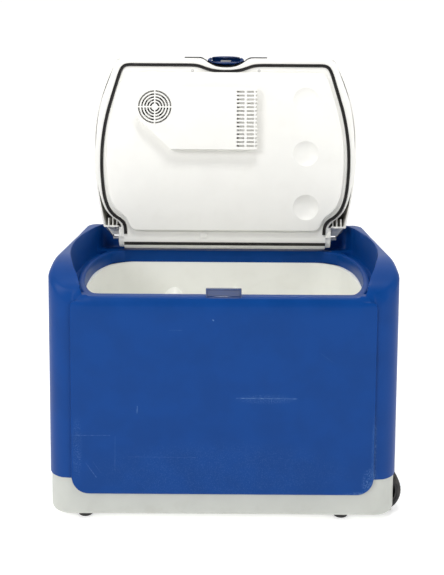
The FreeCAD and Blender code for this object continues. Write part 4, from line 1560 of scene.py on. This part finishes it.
# ------------------------------------------------------------------ smooth outlines
def flowing(anchors: Sequence[Flat], steps: int = 5) -> list[Flat]:
    """Draw a smooth line through some points.

    Args:
        anchors: The points, closer together where the line bends.
        steps: How many pieces each stretch has.

    Returns:
        The points of the line.
    """
    line = []
    last = len(anchors) - 1
    for k in range(last):
        a, b, c, d = anchors[max(k - 1, 0)], anchors[k], anchors[k + 1], anchors[min(k + 2, last)]
        for t in (i / steps for i in range(steps)):
            line.append(tuple(
                0.5 * (2 * b[j] + (c[j] - a[j]) * t + (2 * a[j] - 5 * b[j] + 4 * c[j] - d[j]) * t * t
                       + (3 * b[j] - a[j] - 3 * c[j] + d[j]) * t ** 3) for j in (0, 1)))
    return line + [tuple(anchors[-1])]


def beside(path: Sequence[Flat], by: float) -> list[Flat]:
    """Draw a line that runs beside a path.

    Args:
        path: The path.
        by: How far to its left the line runs.

    Returns:
        The line.
    """
    line = []
    for k, (x, y) in enumerate(path):
        ax, ay = path[max(k - 1, 0)]
        bx, by_ = path[min(k + 1, len(path) - 1)]
        long = max(math.hypot(bx - ax, by_ - ay), 1e-9)
        line.append((x - (by_ - ay) / long * by, y + (bx - ax) / long * by))
    return line


def flat_ring(half: Sequence[Flat], z: float) -> list[Point]:
    """Return a closed outline at one height from its right half, which starts and ends in the middle."""
    whole = list(half) + [(-x, y) for x, y in half[-2:0:-1]]
    return [(x, y, z) for x, y in whole]


# ------------------------------------------------------------------ lid liner
@dataclass
class LidLiner:
    """White inside of the lid: flat rim, raised field with three round dimples, and a small tab."""

    rim: float = 355.6
    field: float = 347.6
    back: float = 358.1
    dimple_x: float = 155.0
    dimple_ys: tuple[float, ...] = (85.0, 188.0, 291.0)
    dimple_radius: float = 24.5
    dimple_depth: float = 8.0
    edge: tuple[Flat, ...] = (
        (0, 21.2), (10, 20.8), (20, 18.8), (28, 15.4), (34, 12), (38.5, 8.6), (41, 5.8), (44, 5.4), (60, 5.4),
        (120, 5.4), (190, 5.4), (202, 5.4), (208, 6.8), (212, 10), (214.8, 16), (220.5, 30), (229, 53),
        (236, 73), (241.5, 91), (246, 116), (249, 146), (250.4, 185), (249.4, 215), (246.6, 240), (242, 264),
        (237, 281), (231, 295), (224, 305), (215, 313.5), (207, 319), (201.5, 325), (198.6, 331), (198, 338))
    foot: tuple[Flat, ...] = (
        (0, 31.5), (100, 31.5), (165, 31.5), (182, 31.8), (190, 34), (196, 41), (203, 60), (210.5, 84),
        (218, 111), (223.6, 139), (227, 167), (228.3, 190), (228.2, 214), (226.2, 241), (222.8, 265),
        (218.5, 280), (213.5, 290.5), (207, 298.5), (200, 304.5), (193, 310), (187.5, 316.5), (184, 324),
        (180, 331), (174, 335.4), (164, 337), (100, 337), (0, 337))

    def slab(self) -> bpy.types.Object:
        """Make the rim and the field as one slab.

        Returns:
            The slab.
        """
        skin = Skin()
        edge = flowing(self.edge) + [(0.0, 338.0)]
        skin.tower([flat_ring(edge, self.back), flat_ring(edge, self.rim)], caps=True)
        plate = skin.piece("lid_liner", Posture.LID_SHUT)
        raised = Skin()
        foot = flowing(self.foot, 4)
        levels = ((0.0, self.back - 1.0), (0.0, self.field + 2.4), (0.5, self.field + 0.9),
                  (1.5, self.field + 0.15), (2.6, self.field))
        raised.tower([flat_ring(self.shrunk(foot, inset), z) for inset, z in levels], caps=True)
        return carve(plate, [raised.piece("field", Posture.LID_SHUT)], "UNION")

    def shrunk(self, line: Sequence[Flat], by: float) -> list[Flat]:
        """Return the foot of the field moved inwards, kept on the middle line."""
        inner = beside(line, by)
        return [(0.0, inner[0][1])] + inner[1:-1] + [(0.0, inner[-1][1])]

    def dimple(self, y: float) -> bpy.types.Object:
        """Make the lower half of the ball that cuts one dimple.

        Args:
            y: The depth of the dimple's middle.

        Returns:
            The cutter.
        """
        ball = (self.dimple_radius ** 2 + self.dimple_depth ** 2) / (2 * self.dimple_depth)
        skin = Skin()
        centre = self.field + self.dimple_depth - ball
        turns = 64
        rings = []
        for k in range(1, 16):
            low = math.pi * k / 32
            reach, z = ball * math.sin(low), centre + ball * math.cos(low)
            rings.append([(self.dimple_x + reach * math.cos(a), y + reach * math.sin(a), z)
                          for a in (i * math.tau / turns for i in range(turns))])
        skin.tower(rings, caps=True)
        return skin.piece("dimple", Posture.LID_SHUT)

    def build(self) -> None:
        """Make the liner."""
        made = carve(self.slab(), [self.dimple(y) for y in self.dimple_ys])
        soften(made, 0.5, 2, 32.0)
        tab = Skin()
        tab.tower([[(x, y, z) for x, y in ((-47, 339.5), (-34, 339.5), (-34, 351), (-47, 351))]
                   for z in (353.5, 362.0)], caps=True)
        block = soften(tab.piece("tab", Posture.LID_SHUT), 0.9, 2)
        hand_over(gather("lid_liner", [made, block]), "lid", "lid_white", "lid_inner_panel")


# ------------------------------------------------------------------ seals
def sweep(path: Sequence[Flat], profile: Sequence[Flat]) -> Skin:
    """Run an outline along a path in plan.

    Args:
        path: The path.
        profile: The outline: how far beside the path, and how high.

    Returns:
        The closed skin.
    """
    skin = Skin()
    rings = []
    for k, (x, y) in enumerate(path):
        ax, ay = path[max(k - 1, 0)]
        bx, by = path[min(k + 1, len(path) - 1)]
        long = max(math.hypot(bx - ax, by - ay), 1e-9)
        nx, ny = -(by - ay) / long, (bx - ax) / long
        rings.append([(x + nx * off, y + ny * off, z) for off, z in profile])
    skin.tower(rings, caps=True)
    return skin


def mirrored(half: Sequence[Flat]) -> list[Flat]:
    """Return a whole path from its right half, which starts on the middle line."""
    return [(-x, y) for x, y in half[:0:-1]] + list(half)


@dataclass
class Seals:
    """Black seals of the lid: the long one round the liner and the strip at the barrel."""

    rim: float = 355.6
    rise: float = 3.2
    half: float = 3.0
    anchors: tuple[Flat, ...] = (
        (0, 29.2), (9, 29.0), (17, 28.3), (26, 27.0), (34, 25.0), (42, 22.3), (49, 19.8), (56, 18.1),
        (64, 17.3), (76, 17), (100, 17), (140, 17), (172, 17), (186, 17), (193.5, 18), (199, 21),
        (203, 27), (207, 37),
        (213, 57), (221, 84), (228, 110), (233.5, 138), (237, 166), (238.3, 190), (238.2, 214), (236.4, 241),
        (232.8, 268), (228.4, 284), (222.8, 296.5), (216, 305), (208.8, 311.2), (202, 315.6), (196.6, 320.3),
        (193, 326), (191.2, 333), (190.4, 344))
    strip_half: float = 193.5
    strip_turn: float = 119.0

    def long_seal(self) -> None:
        """Make the seal round the liner: two soft lips with a channel between them."""
        low, mid, top = self.rim - self.rise, self.rim - 1.5, self.rim + 1.3
        h = self.half
        profile = [(-h, top), (-h, low + 1.0), (-h + 0.5, low + 0.25), (-h + 1.1, low), (-1.0, low + 0.4),
                   (-0.6, mid), (0.6, mid), (1.0, low + 0.4), (h - 1.1, low), (h - 0.5, low + 0.25),
                   (h, low + 1.0), (h, top)]
        skin = sweep(mirrored(flowing(self.anchors)), profile)
        hand_over(skin.piece("lid_seal", Posture.LID_SHUT, 50.0), "lid", "seal_black", "main_seal")

    def strip(self, axis_y: float, axis_z: float, radius: float) -> None:
        """Make the strip that seals along the barrel.

        Args:
            axis_y: The depth of the barrel's axis.
            axis_z: Its height.
            radius: The radius of the barrel.
        """
        turn = math.radians(self.strip_turn)
        outline = [(-3.1, -1.0), (-3.1, 0.7), (-2.5, 1.2), (-1.0, 1.1), (-0.5, 0.2), (0.5, 0.2), (1.0, 1.1),
                   (2.5, 1.2), (3.1, 0.7), (3.1, -1.0)]
        spots = []
        for tangent, out in outline:
            r = radius + out
            spots.append((axis_y - r * math.cos(turn) + tangent * math.sin(turn),
                          axis_z - r * math.sin(turn) - tangent * math.cos(turn)))
        skin = Skin()
        skin.tower([[(x, y, z) for y, z in spots]
                    for x in (-self.strip_half, -self.strip_half / 3, self.strip_half / 3, self.strip_half)],
                   caps=True)
        hand_over(skin.piece("barrel_seal", Posture.LID_SHUT, 50.0), "lid", "seal_black", "rear_seal_strip")

    def build(self) -> None:
        """Make both seals."""
        self.long_seal()
        self.strip(352.5, 376.0, 20.4)


# ------------------------------------------------------------------ latch
@dataclass
class Latch:
    """Lens-shaped push button, its black lining, and the line of the lining along the lid edge."""

    half: float = 35.2
    front: float = -1.6
    back: float = 14.8
    face: float = 354.6
    top: float = 382.0
    lining: tuple[Flat, ...] = (
        (0, 20.6), (10, 20.2), (19, 18.3), (27, 14.9), (33, 11.6), (38, 8.6), (43, 5.6), (48, 3.6), (54, 3.0),
        (66, 3.0), (80, 3.0))
    inner: tuple[Flat, ...] = (
        (80, 0.9), (66, 0.9), (54, 0.9), (48, 1.2), (44, 2.6), (38.6, 6.4), (34, 9.6), (27, 13.2), (19, 16.6),
        (10, 18.5), (0, 18.9))

    def outline(self, inset: float, steps: int = 80) -> list[Flat]:
        """Draw the button's plan.

        Args:
            inset: How far inside its edge.
            steps: How many points it has.

        Returns:
            The points.
        """
        middle, deep = (self.front + self.back) / 2, (self.back - self.front) / 2
        ring = []
        for k in range(steps):
            a = k * math.tau / steps
            c, s = math.cos(a), math.sin(a)
            x = (self.half - inset) * math.copysign(abs(c) ** 0.86, c)
            y = middle + (deep - inset) * math.copysign(abs(s) ** (1.0 if s > 0 else 0.8), s)
            ring.append((x, y))
        return ring

    def button(self) -> None:
        """Make the button with its domed edge and a shallow finger dish."""
        skin = Skin()
        rings = [[(x, y, self.top) for x, y in self.outline(0.0)]]
        for inset, rise in ((0.0, 5.4), (0.25, 3.4), (0.9, 1.8), (2.0, 0.7), (3.2, 0.15), (4.4, 0.0),
                            (5.4, 0.35), (6.4, 1.1), (7.6, 1.7), (8.8, 1.9)):
            rings.append([(x, y, self.face + rise) for x, y in self.outline(inset)])
        skin.tower(rings, caps=True)
        lens = skin.piece("latch_lens", Posture.LID_SHUT)
        slot = Skin()
        slot.tower([[(x, y, z) for x, y in ((-28.6, 0.6), (28.6, 0.6), (28.6, 10.4), (-28.6, 10.4))]
                    for z in (self.face - 2, 368.0)], caps=True)
        hand_over(carve(lens, [slot.piece("slot", Posture.LID_SHUT)]), "latch", "latch_blue", "latch_button")

    def trim(self) -> None:
        """Make the black lining under the button and its thin ends along the lid edge."""
        half = flowing(self.lining, 4) + flowing(self.inner, 4)
        skin = Skin()
        skin.tower([flat_ring(half, z) for z in (381.0, 355.2)], caps=True)
        made = soften(skin.piece("latch_lining", Posture.LID_SHUT), 0.35, 2, 50.0)
        hand_over(made, "lid", "trim_black", "latch_trim")

    def build(self) -> None:
        """Make the button and its trim."""
        self.button()
        self.trim()


@dataclass
class Catch:
    """Upright catch on the front lip: a framed plate with a blind pocket behind it for the hook."""

    half: float = 27.0
    front: float = 4.0
    back: float = 9.5
    low: float = 351.0
    top: float = 365.5
    frame_width: float = 2.6

    def build(self) -> None:
        """Make the catch."""
        w = self.frame_width
        plate = brick((-self.half, self.front, self.low), (self.half, self.back, self.top), 0.9, 3)
        panel = brick((-self.half + w, self.front - 2, self.low + w),
                      (self.half - w, self.front + 1.1, self.top - w), 0.3, 1)
        pocket = brick((-14.0, self.front + 2.4, 358.0), (14.0, self.back + 2, 363.5), 0.2, 1)
        carve(plate, [panel, pocket])
        foot = brick((-22.0, 4.0, 349.6), (22.0, 18.0, 352.4), 0.8, 2)
        hand_over(gather("front_catch", [plate, foot]), "case", "latch_blue", "catch_plate")


@dataclass
class TubRibs:
    """Rounded ribs on the back wall of the tub, which hold a divider."""

    places: tuple[float, ...] = (-97.0, 23.0)
    wall: float = 343.0
    levels: tuple[Flat, ...] = ((56, 42), (150, 38), (225, 33), (250, 29), (262, 24), (270, 18), (276, 12),
                                (280, 6), (281.5, 2))

    def build(self) -> None:
        """Make both ribs."""
        ribs = []
        for x in self.places:
            skin = Skin()
            skin.tower([[(x + r * math.cos(a), self.wall - 0.9 * r * math.sin(a), z)
                         for a in (k * math.pi / 24 for k in range(25))] for z, r in self.levels], caps=True)
            ribs.append(skin.piece("rib"))
        hand_over(gather("tub_ribs", ribs), "case", "liner_white")


# ------------------------------------------------------------------ cooling unit
@dataclass
class Cooling:
    """What shows of the cooling unit: the fins of the air outlet."""

    first: float = 70.0
    pitch: float = 7.36
    count: int = 15
    cover: float = 327.0

    def build(self) -> None:
        """Make the slanted fins behind the outlet slots."""
        fin = local_block((-0.45, 0.0, 0.0), (0.45, 33.0, 5.6), 0.2)
        fin.data.transform(Matrix.Rotation(math.radians(34), 4, "Y"))
        turn = Matrix.Rotation(math.radians(90), 4, "Z")
        place = stand_at((58.5, self.first + 1.0, self.cover + 2.4), turn, swung=True)
        row = Repeater("outlet_fins", Layout.ROW, self.count, self.pitch, "lid_white")
        hand_over(row.piece(fin, place), "lid", "lid_white")


# ------------------------------------------------------------------ wheels
@dataclass
class Wheel:
    """A small carrying wheel: ribbed tyre and spoked centre."""

    name: str
    axis_x: float = 246.0
    axis_z: float = 35.6
    radius: float = 35.6
    hub_radius: float = 28.6
    blocks: int = 44
    spokes: int = 8

    def profile(self, y0: float, y1: float) -> list[Flat]:
        """Draw the tyre's outline.

        Args:
            y0: The near face of the tyre.
            y1: Its far face.

        Returns:
            The outline's points: radius and place along the axle.
        """
        r, h = self.radius - 0.7, self.hub_radius
        return [(h, y0 + 0.4), (h + 1.2, y0), (r - 3.2, y0 + 0.2), (r - 1.2, y0 + 1.0), (r, y0 + 3.0),
                (r, y1 - 3.0), (r - 1.2, y1 - 1.0), (r - 3.2, y1 - 0.2), (h + 1.2, y1), (h, y1 - 0.4)]

    def lathe(self, outline: Sequence[Flat], steps: int = 72) -> Skin:
        """Turn an outline round the axle.

        Args:
            outline: Its points: radius and place along the axle.
            steps: How many steps round.

        Returns:
            The closed skin.
        """
        skin = Skin()
        rings = []
        for k in range(steps):
            a = k * math.tau / steps
            across, up = math.cos(a), math.sin(a)
            rings.append([(self.axis_x + r * across, y, self.axis_z + r * up) for r, y in outline])
        skin.tower(rings, loop=True)
        return skin

    def build(self) -> None:
        """Make the tyre with its tread and the spoked centre."""
        low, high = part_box(self.name + "_tyre")
        y0 = (low.y - DATUM.front) * 1000
        y1 = (high.y - DATUM.front) * 1000
        middle = (self.axis_x, (y0 + y1) / 2, self.axis_z)
        across = Matrix.Rotation(math.radians(90), 4, "X")
        reach = (y1 - y0) / 2 - 4.0
        block = local_block((-1.0, -1.1, -reach), (0.65, 1.1, reach), 0.4)
        tread = Repeater(self.name + "_tread", Layout.RING, self.blocks, self.radius - 0.7, "wheel_tyre")
        parts = [self.lathe(self.profile(y0, y1)).piece("tyre"), tread.piece(block, stand_at(middle, across))]
        tyre = gather(self.name + "_tyre_tread", parts)
        hand_over(tyre, self.name, "wheel_tyre", self.name + "_tyre")
        rim = self.hub_radius - 0.15
        band = [(rim - 3.0, y0 + 2.0), (rim - 2.4, y0 + 1.2), (rim, y0 + 1.2), (rim, y1 - 1.2),
                (rim - 2.4, y1 - 1.2), (rim - 3.0, y1 - 2.0), (rim - 3.0, (y0 + y1) / 2)]
        boss = [(5.2, y0 + 1.4), (8.4, y0 + 1.2), (9.5, y0 + 2.2),
                (9.5, y1 - 2.2), (8.4, y1 - 1.2), (5.2, y1 - 1.4)]
        half = (y1 - y0) / 2 - 6.0
        spoke = local_block((-9.0, -1.6, -half), (9.4, 1.6, half), 0.6)
        star = Repeater(self.name + "_spokes", Layout.RING, self.spokes, 17.0, "wheel_hub")
        quarter = across @ Matrix.Rotation(math.radians(22.5), 4, "Z")
        pieces = [self.lathe(band).piece("band"), self.lathe(boss, 40).piece("boss"),
                  star.piece(spoke, stand_at(middle, quarter))]
        hub = gather(self.name + "_centre", pieces)
        hand_over(hub, self.name, "wheel_hub", self.name + "_hub")


# ------------------------------------------------------------------ towing bail and small fasteners
@dataclass
class TowGrip:
    """Soft ribbed sleeve on the bar of the towing bail."""

    ribs: int = 11
    sleeve: float = 7.6
    rib: float = 8.35

    def build(self) -> None:
        """Make the sleeve and its ribs."""
        low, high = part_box("tow_grip")
        x = ((low.x + high.x) / 2 - DATUM.middle) * 1000
        z = (low.z + high.z) * 500
        y0, y1 = (low.y - DATUM.front) * 1000, (high.y - DATUM.front) * 1000
        tube = Skin()
        steps = 36
        outline = [(6.55, y0), (self.sleeve - 0.5, y0), (self.sleeve, y0 + 0.6), (self.sleeve, y1 - 0.6),
                   (self.sleeve - 0.5, y1), (6.55, y1)]
        tube.tower([[(x + r * math.cos(a), y, z + r * math.sin(a)) for r, y in outline]
                    for a in (k * math.tau / steps for k in range(steps))], loop=True)
        pitch = (y1 - y0) / self.ribs
        ring = Skin()
        wide = pitch * 0.36
        bead = [(self.sleeve - 0.4, -wide), (self.rib - 0.3, -wide * 0.8), (self.rib, 0.0),
                (self.rib - 0.3, wide * 0.8), (self.sleeve - 0.4, wide)]
        ring.tower([[(y, r * math.cos(a), r * math.sin(a)) for r, y in bead]
                    for a in (k * math.tau / steps for k in range(steps))], loop=True)
        row = Repeater("grip_ribs", Layout.ROW, self.ribs, pitch, "grip_black")
        turn = Matrix.Rotation(math.radians(90), 4, "Z")
        ribs = row.piece(local_part(ring), stand_at((x, y0 + pitch / 2, z), turn))
        hand_over(gather("bail_sleeve", [tube.piece("sleeve"), ribs]), "tow_bail", "grip_black", "tow_grip")


@dataclass
class Fasteners:
    """Screws that show: two beside the latch and six under the base."""

    liner_x: float = 64.5
    liner_y: float = 27.5
    liner_z: float = 355.6

    def build(self) -> None:
        """Make the screws as repeated heads."""
        down = Matrix.Rotation(math.pi, 4, "X")
        pair = Repeater("liner_screws", Layout.ROW, 2, self.liner_x * 2, "steel")
        place = stand_at((-self.liner_x, self.liner_y, self.liner_z + 0.4), down, swung=True)
        hand_over(pair.piece(pan_head(3.1, 0.9), place), "lid", "steel", "panel_screws")
        low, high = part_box("base_screws")
        foot = low.z * 1000
        rows = []
        for y in (60.0, 330.0):
            for x in (-180.0, 0.0, 160.0):
                one = Repeater("base_screw", Layout.ROW, 1, 1.0, "steel")
                rows.append(one.piece(pan_head(3.4, 0.6), stand_at((x, y, foot + 0.6), down)))
        hand_over(gather("base_fasteners", rows), "case", "steel", "base_screws")


# ------------------------------------------------------------------ pieces kept from the frame
def dress_kept_nodes() -> None:
    """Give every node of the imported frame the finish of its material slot."""
    slots = {s["node"]: s["material_slot"] for s in frame["record"]["subparts"]}
    for name, node in frame["nodes"].items():
        node.data.materials.clear()
        node.data.materials.append(WARDROBE.get(slots[name]))


def main() -> None:
    """Build the cooler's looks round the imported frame."""
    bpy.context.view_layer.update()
    Studio().build()
    dress_kept_nodes()
    parts = (Casing(), *ROUNDED_NODES, LidLiner(), Seals(), Latch(), Catch(), TubRibs(), Cooling(),
             Wheel("wheel_front"), Wheel("wheel_rear"), TowGrip(), Fasteners())
    for part in parts:
        LOG.info("building %s", type(part).__name__)
        part.build()


if __name__ == "__main__":
    main()
